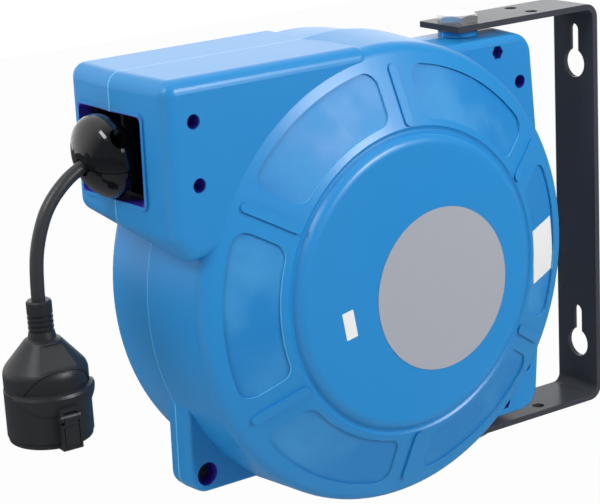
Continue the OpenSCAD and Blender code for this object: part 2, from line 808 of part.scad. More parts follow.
cross_len = 2 * frame_half[0] - 2 * face_gap;
upright_len = 2 * frame_half[1] - 2 * face_gap;
module roller_top() { color(nylon) on_cross(1) roller(cross_len); }
module roller_bottom() { color(nylon) on_cross(-1) roller(cross_len); }
module roller_front() { color(nylon) on_upright(1) roller(upright_len); }
module roller_rear() { color(nylon) on_upright(-1) roller(upright_len); }

// ---- drum ----

module drum_hub() {
    r = barrel_r;
    color("#2a2b2e") on_axis() difference() {
        rotate_extrude() polygon([
            [axle_d / 2 + 3, web_w - 6], [boss_r, web_w - 6], [boss_r, web_w], [r - 3, web_w],
            [r - 3, wind_rear], [r - 12, wind_rear], [r - 12, wind_rear - flange_t],
            [flange_r, wind_rear - flange_t], [flange_r, wind_rear], [r, wind_rear],
            [r, wind_front - eps], [r - 8, wind_front - eps], [r - 8, wind_front - 6], [r - 3, wind_front - 9],
            [r - 3, web_w + web_t], [boss_r, web_w + web_t], [boss_r, web_w + 12],
            [axle_d / 2 + 3, web_w + 12]]);
        // Holes that lighten the rear flange and the web
        for (i = [0 : 5]) rotate(60 * i) {
            translate([(barrel_r + flange_r) / 2, 0, wind_rear - flange_t - 1])
                cylinder(r = 12, h = flange_t + 2);
            translate([(boss_r + barrel_r) / 2, 0, web_w - 1]) cylinder(r = 9, h = web_t + 2);
        }
        for (i = [0 : 5]) rotate(30 + 60 * i)
            translate([r - 5.2, 0, wind_front - 20]) cylinder(d = 3 + 2 * run_gap, h = 21);
        // Hole that the inner end of the cable comes through
        translate([0, -(r - 10), stub_w]) rotate([90, 0, 0]) cylinder(d = cable_d + 1, h = 20);
    }
}

module front_flange() {
    color("#2a2b2e") on_axis() difference() {
        rotate_extrude() polygon([
            [axle_d / 2 + 3, wind_front - 14], [boss_r, wind_front - 14], [boss_r, wind_front],
            [flange_r, wind_front], [flange_r, wind_front + flange_t],
            [axle_d / 2 + 3, wind_front + flange_t]]);
        for (i = [0 : 5]) rotate(30 + 60 * i)
            translate([barrel_r - 5.2, 0, wind_front - 1]) cylinder(r = 1.5 + bolt_gap, h = 9);
        for (i = [0 : 5]) rotate(60 * i)
            translate([(case_r + flange_r) / 2 + 1, 0, wind_front - 1])
                cylinder(r = 12, h = flange_t + 2);
    }
}

// Countersunk screws that hold the front flange on the barrel
module drum_screws() {
    color(steel) on_axis() for (i = [0 : 5]) rotate(30 + 60 * i)
        translate([barrel_r - 5.2, 0, wind_front + flange_t])
            mirror([0, 0, 1]) cylinder(d = 3, h = 16);
}

module hub_bushes() {
    color(nylon) on_axis() {
        translate([0, 0, web_w - 6]) ring(axle_d / 2 + 3, axle_d / 2 + run_gap, 18);
        translate([0, 0, wind_front - 14])
            ring(axle_d / 2 + 3, axle_d / 2 + run_gap, 14 + flange_t);
    }
}

module spring_case() {
    color("#3a3c40") on_axis() rotate_extrude() polygon([
        [axle_d / 2 + 4, case_base], [case_r, case_base], [case_r, case_top - case_wall],
        [case_r - case_wall, case_top - case_wall], [case_r - case_wall, case_base + case_wall],
        [axle_d / 2 + 4, case_base + case_wall]]);
}

module spring_cover() {
    color(steel) on_axis() difference() {
        translate([0, 0, case_top - case_wall]) ring(case_r, axle_d / 2 + 4, case_wall);
        for (i = [0 : 3]) rotate(45 + 90 * i) translate([60, 0, case_top - 4])
            cylinder(r = 7, h = 8);
    }
}

module cover_screws() {
    color(steel) on_axis() for (i = [0 : 3]) rotate(90 * i)
        translate([case_r - 6, 0, case_top]) cylinder(d = 6, h = 1.2);
}

module spring_arbor() {
    color("#77797d") on_axis() translate([0, 0, case_base + case_wall + 1])
        ring(axle_d / 2 + 5, axle_d / 2 + seat_gap, case_h - 2 * case_wall - 2);
}

// Flat steel strip wound from the arbor to the wall of the case
module return_spring() {
    r0 = axle_d / 2 + 6;
    r1 = case_r - case_wall - 1.6;
    strip = 0.8;
    steps = 24 * spring_coils;
    inner = [for (i = [0 : steps]) let (a = 15 * i, r = r0 + (r1 - r0) * i / steps)
        [r * cos(a), r * sin(a)]];
    outer = [for (i = [steps : -1 : 0]) let (a = 15 * i, r = r0 + (r1 - r0) * i / steps + strip)
        [r * cos(a), r * sin(a)]];
    color("#5b6066") on_axis() translate([0, 0, case_base + case_wall + 2])
        linear_extrude(case_h - 2 * case_wall - 4) polygon(concat(inner, outer));
}

// Slip rings on their insulating carrier, behind the web of the hub
ring_w = [-17, -22, -27];
module slip_ring_carrier() {
    r = slip_d / 2;
    color("#7a2f22") on_axis() rotate_extrude() polygon([
        [boss_r + seat_gap, web_w - 0.1], [r + 2, web_w - 0.1], [r + 2, ring_w[0] + 3],
        [r - 3, ring_w[0] + 3], [r - 3, ring_w[2] - 3], [r + 2, ring_w[2] - 3],
        [r + 2, ring_w[2] - 5], [shoulder_r + 2, ring_w[2] - 5],
        [shoulder_r + 2, web_w - 6.2], [boss_r + seat_gap, web_w - 6.2]]);
}

module slip_rings() {
    color(brass) on_axis() for (w = ring_w) translate([0, 0, w - 1.5])
        ring(slip_d / 2, slip_d / 2 - 3 + seat_gap, 3);
}

module ratchet_ring() {
    pitch = 360 / ratchet_teeth;
    r = ratchet_r;
    teeth = [for (i = [0 : ratchet_teeth - 1]) each [
        [r[0] + 3, (i + 0.64) * pitch], [r[1], (i + 0.71) * pitch],
        [r[1], (i + 0.89) * pitch], [r[0] + 3, (i + 0.96) * pitch]]];
    color("#d8d6ce") on_axis() translate([0, 0, ratchet_w[1]]) difference() {
        linear_extrude(wind_rear - flange_t - seat_gap - ratchet_w[1])
            polygon([for (p = teeth) p[0] * [cos(p[1]), sin(p[1])]]);
        translate([0, 0, -1]) cylinder(r = r[0] - 3, h = 20);
    }
}

stub_w = web_w + web_t + 5.6;
module cable_core() {
    color(black) on_axis() {
        translate([0, 0, wind_rear + 0.5]) ring(core_r, barrel_r + seat_gap, winding_w - 1);
        // Inner end of the cable, led through the barrel to its clamp
        translate([0, -(barrel_r - 22), stub_w]) rotate([90, 0, 0])
            cylinder(d = cable_d, h = 24);
    }
}

// Outer layer of the wound cable: one unbroken helix with straight ends
layer_w0 = lead_w - layer_pitch * winding_turns / 2;
layer_pts = concat(
    [[cable_d, layer_r, layer_w0]],
    [for (i = [0 : winding_turns * layer_rings]) let (a = 90 + 360 * i / layer_rings)
        [layer_r * cos(a), layer_r * sin(a), layer_w0 + layer_pitch * i / layer_rings]],
    [[-cable_d, layer_r, layer_w0 + winding_turns * layer_pitch]]);
layer_gap = min([for (i = [0 : len(layer_pts) - 1 - layer_rings])
    min([for (j = [i + layer_rings / 2 : len(layer_pts) - 1])
        norm(layer_pts[i] - layer_pts[j])])]) - cable_d;

module cable_outer_layer() {
    echo(least_gap_between_turns_mm = layer_gap);
    color(black) on_axis() tube(layer_pts, cable_d / 2, 6, [0, 0, 1]);
}

module cable_clamp() {
    color(nylon) on_axis() translate([0, -(barrel_r - 14), stub_w]) difference() {
        translate([-12, -5, -5.5]) cube([24, 10, 11]);
        rotate([90, 0, 0]) cylinder(r = cable_d / 2 + run_gap, h = 30, center = true);
    }
}

// ---- brushes, cut-out and gland in the rear shell ----

module brush_holder() {
    v0 = slip_d / 2 + 4;
    color("#6d6f74") on_axis() difference() {
        union() {
            translate([-9, v0, rear_inner]) cube([18, 10, -rear_inner + ring_w[0] + 4]);
            translate([-16, v0, rear_inner]) cube([32, 10, 3]);
        }
        for (w = ring_w) translate([-4.5, v0 - 1, w - 1.6]) cube([9, 6, 3.2]);
    }
}

// Three sprung leaves, each bearing on its slip ring
module brush_leaves() {
    v0 = slip_d / 2 + face_gap;
    color(brass) on_axis() for (w = ring_w) translate([-3.5, v0, w - 1.2]) {
        cube([7, 1.2, 2.4]);
        translate([5.8, 0, 0]) cube([1.2, 8.6, 2.4]);
    }
}

module thermal_cutout() {
    color("#303236") on_axis() translate([reset_at[0], reset_at[1], rear_inner]) difference() {
        translate([-10, -8, 0]) cube([20, 16, 7.5]);
        translate([0, 0, -1]) cylinder(d = button_d - 2 + 2 * face_gap, h = 6);
    }
}

module reset_button() {
    color("#c8271e") on_axis() translate([reset_at[0], reset_at[1], rear_inner]) mirror([0, 0, 1]) {
        cylinder(d = button_d - 2, h = wall + 1);
        translate([0, 0, button_travel + seat_gap]) cylinder(d = button_d, h = 4.5);
    }
}

module supply_gland() {
    color(black) on_axis() translate([gland_at[0], gland_at[1], -rear_depth]) mirror([0, 0, 1])
        difference() {
            union() {
                translate([0, 0, -wall - 5]) cylinder(d = 16, h = wall + 6);
                cylinder(r = 12 / cos(30), h = 5, $fn = 6);
                translate([0, 0, 5]) rotate_extrude() polygon(concat([[0, 0], [11, 0], [11, 5]],
                    arc(6.5, 5, 4.5, 0, 75, 5), [[0, 9.35]]));
            }
            translate([0, 0, -20]) cylinder(d = 8.6, h = 60);
        }
}

module gland_nut() {
    color(black) on_axis() translate([gland_at[0], gland_at[1], rear_inner + seat_gap])
        hex_nut(22, 4, 16 + 2 * run_gap);
}

module pawl_pin() {
    color(steel) on_axis() translate([pawl_at[0], pawl_at[1], rear_inner])
        cylinder(d = pawl_pin_d, h = 7.2);
}

// Pawl, swung clear of the teeth, with a short tail for its spring
module pawl() {
    t = 3.6;
    color("#d2b04c") on_axis() translate([pawl_at[0], pawl_at[1], ratchet_w[1]])
        rotate(pawl_rest) linear_extrude(t) difference() {
            union() {
                circle(5.5);
                translate([-9, -2.2]) square([19, 4.4]);
                polygon([[9, -2.2], [19, -1.4], [20, 0], [19, 1.4], [9, 2.2]]);
            }
            circle(pawl_pin_d / 2 + run_gap);
        }
}

// Small torsion spring behind the pawl, round its pin
module pawl_spring() {
    r = pawl_pin_d / 2 + 0.8;
    n = 8 * 2;
    pts = [for (i = [0 : n]) let (a = 45 * i) [r * cos(a), r * sin(a), 1.4 * i / n]];
    color(steel) on_axis() translate([pawl_at[0], pawl_at[1], rear_inner + 0.6])
        tube(concat(pts, [[r, 9, 1.4]]), 0.3, 6, [0, 0, 1]);
}

// ---- ball stop and cable end ----

module on_ball() {
    on_axis() translate([-ball_reach, lead_z, lead_w])
        rotate([0, 0, ball_tilt]) rotate([ball_turn, 0, 0]) children();
}

module cable_lead() {
    far = ball_reach - lead_start;
    color(black) on_axis() translate([-far, lead_z, lead_w]) rotate([0, 90, 0])
        cylinder(d = cable_d, h = far);
}

// Oval section of the ball stop: two wide faces that run over into a round edge
function ball_profile() = let (
    half_t = ball_t / 2, half_d = ball_d / 2, face_r = ball_face_r,
    edge_r = (half_t * (2 * face_r - half_t) - half_d * half_d) / (2 * (face_r - half_d)),
    turn = atan2(face_r - half_t, half_d - edge_r)) concat(
        arc(0, half_t - face_r, face_r, 90, turn, 6),
        arc(half_d - edge_r, 0, edge_r, 0.8 * turn, -0.8 * turn, 8),
        arc(0, face_r - half_t, face_r, -turn, -90, 6));

module ball_form() {
    rotate([0, 90, 0]) rotate_extrude() polygon(ball_profile());
}

ball_screw_w = ball_d / 2 - 8.5;
module ball_half(s) {
    gap = 0.25;
    difference() {
        ball_form();
        translate([0, -s * (50 - gap), 0]) cube(100, center = true);
        // Straight bore of the lead, and the wider one that the cable bends in
        rotate([-ball_turn, 0, 0]) rotate([0, 0, -ball_tilt]) {
            translate([-lead_start, 0, 0]) rotate([0, 90, 0])
                cylinder(r = cable_d / 2 + run_gap, h = 60);
            translate([lead_start - 2, 0.55, 0]) rotate([0, 0, 16]) rotate([0, -90, 0])
                cylinder(r = cable_d / 2 + 1.3, h = 34);
        }
        for (w = [-1, 1]) translate([0, 0, w * ball_screw_w]) rotate([-90, 0, 0]) {
            cylinder(r = 2 + bolt_gap, h = 80, center = true);
            if (s > 0) translate([0, 0, 6]) cylinder(r = 4.6, h = 40);
            if (s < 0) translate([0, 0, -46]) cylinder(r = 3.65 / cos(30), h = 40, $fn = 6);
        }
    }
}

module ball_upper() { color(black) on_ball() ball_half(1); }
module ball_lower() { color(black) on_ball() ball_half(-1); }

module ball_screws() {
    color(steel) on_ball() for (w = [-1, 1]) translate([0, 6, w * ball_screw_w])
        rotate([-90, 0, 0]) screw(4, 15, 7.4, 3);
}

module ball_nuts() {
    color(steel) on_ball() for (w = [-1, 1]) translate([0, -9.2, w * ball_screw_w])
        rotate([-90, 0, 0]) hex_nut(7, 3.2, 4 + 2 * run_gap);
}

tail_path = [for (p = concat([[0, 0]], smooth(tail_route, tail_steps), [tail_end]))
    [drum_x - ball_reach + lead_start + p[0], lead_back, lead_z + p[1]]];

module cable_tail() {
    color(black) tube(tail_path, cable_d / 2, tail_sides, [0, 1, 0]);
}

// Puts the coupling, drawn hanging along -z from its collar, at the end of the cable
module on_socket() {
    translate(tail_path[len(tail_path) - 1]) rotate([0, -socket_lean, 0])
        rotate([0, 0, -socket_turn]) children();
}

// Puts an outline drawn over y and z at its place, extruded along x
module across(w) {
    rotate([90, 0, 90]) linear_extrude(w, center = true) children();
}

module on_hinge() {
    translate([0, hinge_y, hinge_z]) rotate([0, 90, 0]) children();
}

module socket_skin() {
    r = socket_r;
    top_r = socket_collar_d / 2;
    rotate_extrude() polygon(concat(
        [[0, 0], [top_r - 1, 0], [top_r, -1]],
        [for (i = [0 : 3], s = [0, 1, 2, 3])
            [top_r - (s == 1 || s == 2 ? 0.9 : 0), -(8 + 3 * i) - [0, 0.2, 1.2, 1.4][s]]],
        [[top_r + 0.9, 1.2 - socket_collar_l], [top_r + 3.4, -socket_collar_l]],
        arc(r - 9, cone_z, 9, 40, 0, 5),
        [[r, crease_z + 0.3], [r - 0.5, crease_z], [cup_r, crease_z - 0.5],
         [cup_r, face_z + 0.5], [cup_r - 0.5, face_z], [0, face_z]]));
}

// Shallow bare field on the shoulder above the lip, and the flat facet over it
module shoulder_cuts() {
    sunk = 0.8;
    r = socket_r;
    intersection() {
        rotate_extrude() polygon(concat(
            [[r + 6, crease_z + 0.5], [r - sunk, crease_z + 0.5]],
            arc(r - 9, cone_z, 9 - sunk, 0, 40, 5),
            [[r - 12, cone_z + 15], [r + 6, cone_z + 15]]));
        across(70) polygon([[-12.2, crease_z + 0.5], [-r - 8, crease_z + 0.5], [-r - 8, crease_z + 28.4]]);
    }
    top = [-(socket_collar_d / 2 + 2.9), -(socket_collar_l + 2)];
    low = [-(r - 5.4), cone_z + 5.9];
    across(30) polygon([top, low, low + [-4.5, 4], top + [-6, 5.4]]);
}

// Raised lip round the front of the cup, running out to its sides
module socket_lip() {
    z = crease_z;
    r = cup_r;
    intersection() {
        rotate_extrude() polygon([[r - 0.7, z + 1.5], [r + 1.7, z + 0.7], [r + 2.5, z - 1],
            [r + 2.3, z - 3.5], [r + 1.3, z - 8.5], [r + 0.9, hinge_z + 2.2],
            [r - 6, hinge_z + 2.2], [r - 6, z + 1.5]]);
        across(70) polygon([[-r - 8, z - 18.4], [-5, z + 2.6], [-r - 8, z + 10]]);
    }
}

module coupling_body() {
    color(black) on_socket() difference() {
        union() {
            difference() {
                socket_skin();
                shoulder_cuts();
            }
            socket_lip();
            // Tab over the hinge, and the ears that hold its pin
            translate([-leg_w / 2, leg_y[0] + 0.6, hinge_z])
                cube([leg_w, 6, crease_z - 6.5 - hinge_z]);
            on_hinge() cylinder(r = knuckle_r, h = leg_w, center = true);
            translate([-leg_w / 2, hinge_y, hinge_z - knuckle_r]) cube([leg_w, 4, 2 * knuckle_r]);
        }
        // Room of the lid's knuckle, and of the top of its leg when it swings up
        on_hinge() cylinder(r = knuckle_r + face_gap, h = 2 * (knuckle_half + face_gap), center = true);
        translate([-(knuckle_half + face_gap), hinge_y - 6, hinge_z - 1])
            cube([2 * (knuckle_half + face_gap), 6, knuckle_r + 1.8]);
        // Recess of the socket, with the room of its insert behind it
        translate([0, 0, face_z - 1]) cylinder(d = recess_d, h = recess_l + 1);
        translate([0, 0, face_z + recess_l - 1]) cylinder(r = recess_d / 2 - 1.5, h = 16);
        translate([0, 0, -60]) cylinder(d = cable_d + 0.4, h = 60 + eps - 6);
        on_hinge() cylinder(r = hinge_pin_d / 2 + run_gap, h = 40, center = true);
    }
}

module coupling_insert() {
    z0 = face_z + recess_l;
    color("#26262a") on_socket() difference() {
        translate([0, 0, z0 + seat_gap]) cylinder(r = recess_d / 2 - 1.5 - seat_gap, h = insert_t);
        for (s = [-1, 1]) translate([s * contact_pitch / 2, 0, z0 - 1])
            cylinder(d = 7 + 2 * seat_gap, h = insert_t + 4);
        translate([0, 0, z0 - 1]) cylinder(r = 1.5 + bolt_gap, h = insert_t + 4);
        for (s = [-1, 1]) translate([-4.2, s * 17 - 1.2, z0 - 1]) cube([8.4, 2.4, insert_t + 4]);
    }
}

module contact_sleeves() {
    z0 = face_z + recess_l + seat_gap;
    color(brass) on_socket() for (s = [-1, 1]) translate([s * contact_pitch / 2, 0, z0])
        ring(3.5, 2.45, 12);
}

module earth_clips() {
    z0 = face_z + recess_l + seat_gap;
    color(brass) on_socket() for (s = [-1, 1]) translate([-4, s * 17 - 0.5, z0 - 12])
        cube([8, 1, 20]);
}

module insert_screw() {
    z0 = face_z + recess_l + seat_gap;
    color(steel) on_socket() translate([0, 0, z0]) mirror([0, 0, 1])
        screw(3, 10, 5.6, 2);
}

// Sprung lid under the socket, on a framed leg that hangs from the hinge
module coupling_lid() {
    lid_z = face_z - face_gap - lid_t;
    leg_h = hinge_z - knuckle_r - face_gap - lid_z;
    deep = leg_y[1] - leg_y[0];
    color(black) on_socket() difference() {
        union() {
            translate([0, 0, lid_z]) rotate_extrude() polygon(concat(
                [[0, 0]], arc(lid_r - 1.5, 1.5, 1.5, -90, 0, 4), [[lid_r, lid_t], [0, lid_t]]));
            translate([-leg_w / 2, leg_y[0], lid_z]) cube([leg_w, -leg_y[0] - lid_r + 5, lid_t]);
            translate([-leg_w / 2, leg_y[0], lid_z]) cube([leg_w, deep, leg_h]);
            translate([-knuckle_half, leg_y[0], lid_z]) cube([2 * knuckle_half, deep, hinge_z - lid_z]);
            on_hinge() cylinder(r = knuckle_r, h = 2 * knuckle_half, center = true);
        }
        on_hinge() {
            cylinder(r = hinge_pin_d / 2 + run_gap, h = 40, center = true);
            cylinder(r = knuckle_r - 0.8, h = 5, center = true);
        }
        // Groove round the outer face of the leg
        translate([0, leg_y[0] - 1, lid_z + leg_h / 2]) rotate([-90, 0, 0]) linear_extrude(1.5)
            difference() {
                square([leg_w - 2.4, leg_h - 2.4], center = true);
                square([leg_w - 3.8, leg_h - 3.8], center = true);
            }
    }
}

module lid_pin() {
    color(steel) on_socket() on_hinge() cylinder(d = hinge_pin_d, h = leg_w, center = true);
}

module lid_spring() {
    turns = 3;
    n = 8 * turns;
    r = hinge_pin_d / 2 + 0.45;
    pts = [for (i = [0 : n]) let (a = 45 * i) [-1.8 + 3.6 * i / n, r * cos(a), r * sin(a)]];
    color(steel) on_socket() translate([0, hinge_y, hinge_z]) tube(pts, 0.25, 6, [1, 0, 0]);
}

wall_bracket();
pivot_bolts();
pivot_washers();
pivot_nuts();
front_shell();
rear_shell();
pivot_bushes();
shell_screws();
shell_nuts();
front_label();
axle();
axle_nut();
guide_frame();
roller_pins();
brush_holder();
brush_leaves();
thermal_cutout();
supply_gland();
gland_nut();
pawl_pin();
pawl_spring();
roller_top();
roller_bottom();
roller_front();
roller_rear();
pawl();
reset_button();
drum_hub();
front_flange();
drum_screws();
hub_bushes();
spring_case();
spring_cover();
cover_screws();
spring_arbor();
return_spring();
slip_ring_carrier();
slip_rings();
ratchet_ring();
cable_core();
cable_outer_layer();
cable_clamp();
cable_lead();
ball_upper();
ball_lower();
ball_screws();
ball_nuts();
cable_tail();
coupling_body();
coupling_insert();
contact_sleeves();
earth_clips();
insert_screw();
coupling_lid();
lid_pin();
lid_spring();
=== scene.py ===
"""Looks of a wall-mounted spring-return cable reel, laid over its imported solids.

Every size is in metres, in the frame of the solids: +Z is up, +X points to the
wall, the front of the reel looks along -Y, and the cable leaves along -X.
"""

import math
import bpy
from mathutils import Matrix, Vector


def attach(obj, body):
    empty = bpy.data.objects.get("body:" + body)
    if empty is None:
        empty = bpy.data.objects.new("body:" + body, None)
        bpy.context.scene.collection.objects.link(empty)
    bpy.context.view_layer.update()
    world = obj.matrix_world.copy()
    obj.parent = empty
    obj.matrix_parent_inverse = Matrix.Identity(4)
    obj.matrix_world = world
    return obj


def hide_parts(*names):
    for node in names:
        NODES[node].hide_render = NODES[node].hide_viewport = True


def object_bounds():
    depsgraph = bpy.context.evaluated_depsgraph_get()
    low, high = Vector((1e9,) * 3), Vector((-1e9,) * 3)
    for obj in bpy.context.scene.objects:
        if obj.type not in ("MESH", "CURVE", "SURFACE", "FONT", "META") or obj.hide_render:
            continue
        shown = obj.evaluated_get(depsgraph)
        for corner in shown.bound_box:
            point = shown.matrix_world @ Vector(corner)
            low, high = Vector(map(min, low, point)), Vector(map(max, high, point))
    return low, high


bl_info = {
    "name": "Wall cable reel",
    "version": (1, 0, 0),
    "blender": (4, 5, 0),
    "location": "View3D > Sidebar > Cable Reel",
    "description": "Gives the wall cable reel its hanging cable, stickers, finishes and studio",
    "category": "Object",
}

import bmesh
import bpy
from bpy.props import FloatProperty, FloatVectorProperty, PointerProperty
from bpy.types import Operator, Panel, PropertyGroup
from mathutils import Euler, Matrix, Vector

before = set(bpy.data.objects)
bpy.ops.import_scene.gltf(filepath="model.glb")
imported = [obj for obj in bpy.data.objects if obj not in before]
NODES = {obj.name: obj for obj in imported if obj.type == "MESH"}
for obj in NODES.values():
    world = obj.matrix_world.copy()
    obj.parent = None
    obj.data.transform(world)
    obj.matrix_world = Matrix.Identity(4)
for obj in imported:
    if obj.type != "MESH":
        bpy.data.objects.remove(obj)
SOLID_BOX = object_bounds()

# Places on the reel that the pieces below are set from
DRUM_AXIS_X = -0.212
BALL_REACH = 0.1695
LEAD_Z = 0.0965
LEAD_Y = 0.003
LEAD_START = 0.003
DISC_FACE_Y = -0.079
SOCKET_LEAN = math.radians(1.5)

# Front cone of the housing, from the drum axis and the seam
CONE_SLOPE = math.radians(24.9)
CONE_TOP_R = 0.1397
CONE_TOP_DEPTH = 0.05407
PANEL_DEPTH = 0.0016
PANEL_R = (0.1005, 0.134)

# Panels of the cone: the share of their depth where their floor starts, the band of it that is
# their step, on which a highlight is painted, how far the step may pass their edges, and the Y
# in front of which they all lie
PANEL_FLOOR = 0.6
PANEL_STEP = (0.12, 0.85)
STEP_MARGIN = 0.0008
CONE_FRONT_Y = -0.045

# Half the width of the painted highlight along the seam of the shells
SEAM_HALF = 0.0006

# Outlet opening, whose walls get painted shade: how far left of the drum axis it starts, half
# its width and height
MOUTH_START = -0.14
MOUTH_HALF = (0.0334, 0.0269)

# Screw recesses of the front, inside which shade is painted: place from the drum axis, radius,
# and distance of the rim in front of the seam
SCREW_RECESSES = (
    (-0.144, 0.121, 0.0049, 0.0530), (-0.142, 0.083, 0.0049, 0.0530),
    (0.136, 0.098, 0.0049, 0.0232), (0.136, -0.098, 0.0049, 0.0232),
    (0.117, 0.120, 0.0056, 0.0232), (0.117, -0.120, 0.0056, 0.0232),
    (-0.12057, -0.11046, 0.0078, 0.0132),
)

# Centre line of the hanging cable: along X and up, from its start inside the ball
CABLE_ROUTE = [
    (0.0, 0.0), (-0.004, 0.0), (-0.0085, -0.0006), (-0.0135, -0.002), (-0.020, -0.0045),
    (-0.0275, -0.0085), (-0.034, -0.0135), (-0.040, -0.0195), (-0.045, -0.0265),
    (-0.0485, -0.034), (-0.0512, -0.042), (-0.053, -0.050), (-0.0539, -0.0585),
    (-0.0542, -0.066), (-0.0543, -0.073),
]
CABLE_LAST_RUN = 0.004

# Stickers: place of the small one on the disc and of the wide one on the cone, from the
# drum axis, with their turns, the rounding of their corners, their thickness, and how
# far the wide one stands off the panel
DISC_STICKER = (-0.0557, -0.0147, math.radians(10))
CONE_STICKER = (0.1172, -0.0055, math.radians(6))
STICKER_CORNER = 0.0006
STICKER_THICKNESS = 0.00015
STICKER_LIFT = 0.00005

# Camera: the way it looks, its roll, the point it looks at, how far away it stands, its
# shift, and the width of its sensor in millimetres
CAMERA_AZIMUTH = math.radians(-36.673)
CAMERA_ELEVATION = math.radians(13.859)
CAMERA_ROLL = math.radians(-2.525)
CAMERA_DISTANCE = 1.453497
CAMERA_TARGET = Vector((-0.211360, 0.041099, 0.036327))
CAMERA_SHIFT_Y = -0.0985
CAMERA_SENSOR = 36.0
CAMERA_CLIP_END = 50.0

# Studio: distance of the floor below the reel and half its width, how much of the floor's
# picture is its own white, its colour as it is mirrored, and the colour and strength of
# the surroundings that light the reel
FLOOR_DROP = 0.9
FLOOR_REACH = 6.0
FLOOR_WHITE = 0.97
MIRRORED_FLOOR = (0.25, 0.25, 0.26, 1.0)
LIT_COLOUR = (0.95, 0.97, 1.0, 1.0)
LIT_STRENGTH = 0.29

# Surroundings as they are mirrored: they fade from in front and below to behind and
# above, where the weight of upward against backward is the rise
MIRROR_RANGE = (0.1, 0.8)
MIRROR_STRENGTH = (0.16, 1.0)
MIRROR_RISE = 0.6

# Lamps: name, place, watts, width, colour, and whether they are mirrored in the reel
WHITE = (1.0, 1.0, 1.0)
WARM_WHITE = (1.0, 0.98, 0.88)
LAMP_AIM = Vector((-0.22, 0.0, 0.0))
LAMPS = (
    ("front_softbox", (0.286, -1.319, 0.751), 18.0, 0.55, WHITE, True),
    ("left_softbox", (-1.391, -0.206, 1.071), 7.0, 0.5, WHITE, True),
    ("rear_softbox", (0.71, 1.245, 0.384), 3.2, 1.2, WHITE, True),
    ("top_fill", (-0.22, -0.06, 1.8), 9.0, 1.2, WARM_WHITE, False),
    ("left_fill", (-1.986, 0.311, 0.157), 5.4, 1.2, WHITE, False),
    ("rear_fill", (-0.957, 1.277, 1.032), 8.5, 1.2, WHITE, False),
    ("low_fill", (-1.7, -0.3, -0.7), 4.0, 1.0, WHITE, False),
    ("right_fill", (1.6, -0.7, -0.9), 4.5, 1.0, WHITE, False),
)


# ---- settings ----

class ReelColours(PropertyGroup):
    """Colours of the reel's finishes, in linear light"""

    shell_blue: FloatVectorProperty(
        name="Shell blue", description="Moulded plastic of the two shells",
        subtype="COLOR", size=3, min=0.0, max=1.0, default=(0.0055, 0.232, 0.578))
    panel_blue: FloatVectorProperty(
        name="Panel blue", description="Matt recessed panels of the front cone",
        subtype="COLOR", size=3, min=0.0, max=1.0, default=(0.010, 0.215, 0.55))
    # Painted shade: this violet stands in for the shade in the cable outlet and the screw
    # recesses
    recess_shade_violet: FloatVectorProperty(
        name="Recess shade violet", description="Walls of the cable outlet and the screw recesses",
        subtype="COLOR", size=3, min=0.0, max=1.0, default=(0.05, 0.035, 0.42))
    # Painted highlight: this paler blue stands in for the light caught by the seam and the
    # panels' steps, and also paints the sheen of the panels
    edge_highlight_blue: FloatVectorProperty(
        name="Edge highlight blue", description="Moulded edges of the seam and of the panels",
        subtype="COLOR", size=3, min=0.0, max=1.0, default=(0.12, 0.47, 0.74))
    strap_black: FloatVectorProperty(
        name="Strap black", description="Stoved paint of the wall bracket",
        subtype="COLOR", size=3, min=0.0, max=1.0, default=(0.052, 0.055, 0.066))
    label_grey: FloatVectorProperty(
        name="Label grey", description="Film of the round label on the front",
        subtype="COLOR", size=3, min=0.0, max=1.0, default=(0.36, 0.375, 0.42))
    sticker_white: FloatVectorProperty(
        name="Sticker white", description="Paper of the small stickers",
        subtype="COLOR", size=3, min=0.0, max=1.0, default=(0.82, 0.82, 0.82))
    rubber_black: FloatVectorProperty(
        name="Rubber black", description="Sheath of the cable and the coupling",
        subtype="COLOR", size=3, min=0.0, max=1.0, default=(0.010, 0.011, 0.0135))
    zinc: FloatVectorProperty(
        name="Zinc", description="Plated screws, bolts and pins",
        subtype="COLOR", size=3, min=0.0, max=1.0, default=(0.62, 0.63, 0.64))
    backdrop_white: FloatVectorProperty(
        name="Backdrop white", description="Floor of the studio",
        subtype="COLOR", size=3, min=0.0, max=1.0, default=(0.9, 0.9, 0.9))


class ReelSizes(PropertyGroup):
    """Sizes of the pieces that are added to the solids, and of the camera"""

    cable_diameter: FloatProperty(
        name="Cable diameter", description="Outer diameter of the hanging cable",
        subtype="DISTANCE", unit="LENGTH", min=0.007, max=0.009, default=0.0083)
    sticker_width: FloatProperty(
        name="Sticker width", description="Width of the small sticker on the disc",
        subtype="DISTANCE", unit="LENGTH", min=0.005, max=0.02, default=0.0085)
    sticker_height: FloatProperty(
        name="Sticker height", description="Height of the small sticker on the disc",
        subtype="DISTANCE", unit="LENGTH", min=0.01, max=0.03, default=0.0175)
    side_label_width: FloatProperty(
        name="Side label width", description="Width of the white label on the cone",
        subtype="DISTANCE", unit="LENGTH", min=0.01, max=0.04, default=0.032)
    side_label_height: FloatProperty(
        name="Side label height", description="Height of the white label on the cone",
        subtype="DISTANCE", unit="LENGTH", min=0.02, max=0.05, default=0.036)
    lens: FloatProperty(
        name="Lens", description="Focal length for a sensor 36 mm wide, in millimetres",
        min=50.0, max=300.0, default=134.03)


def colours():
    """The settings for the finishes"""
    return bpy.context.scene.reel_colours


def sizes():
    """The settings for the added pieces and the camera"""
    return bpy.context.scene.reel_sizes


# ---- shader groups and materials ----

DUST = (0.75, 0.78, 0.80, 1.0)
COAT_ROUGHNESS = 0.08
GRAIN_HEIGHT = 0.0002
PANEL_ROUGHNESS = 0.48

# Painted cloudy sheen of the panels: size of the clouds, where the painted sheen starts, its
# strength, and how far the clouds change the roughness
CLOUD_SCALE = 26.0
SHEEN_START = 0.45
SHEEN_STRENGTH = 0.8
CLOUD_ROUGHNESS = 0.9


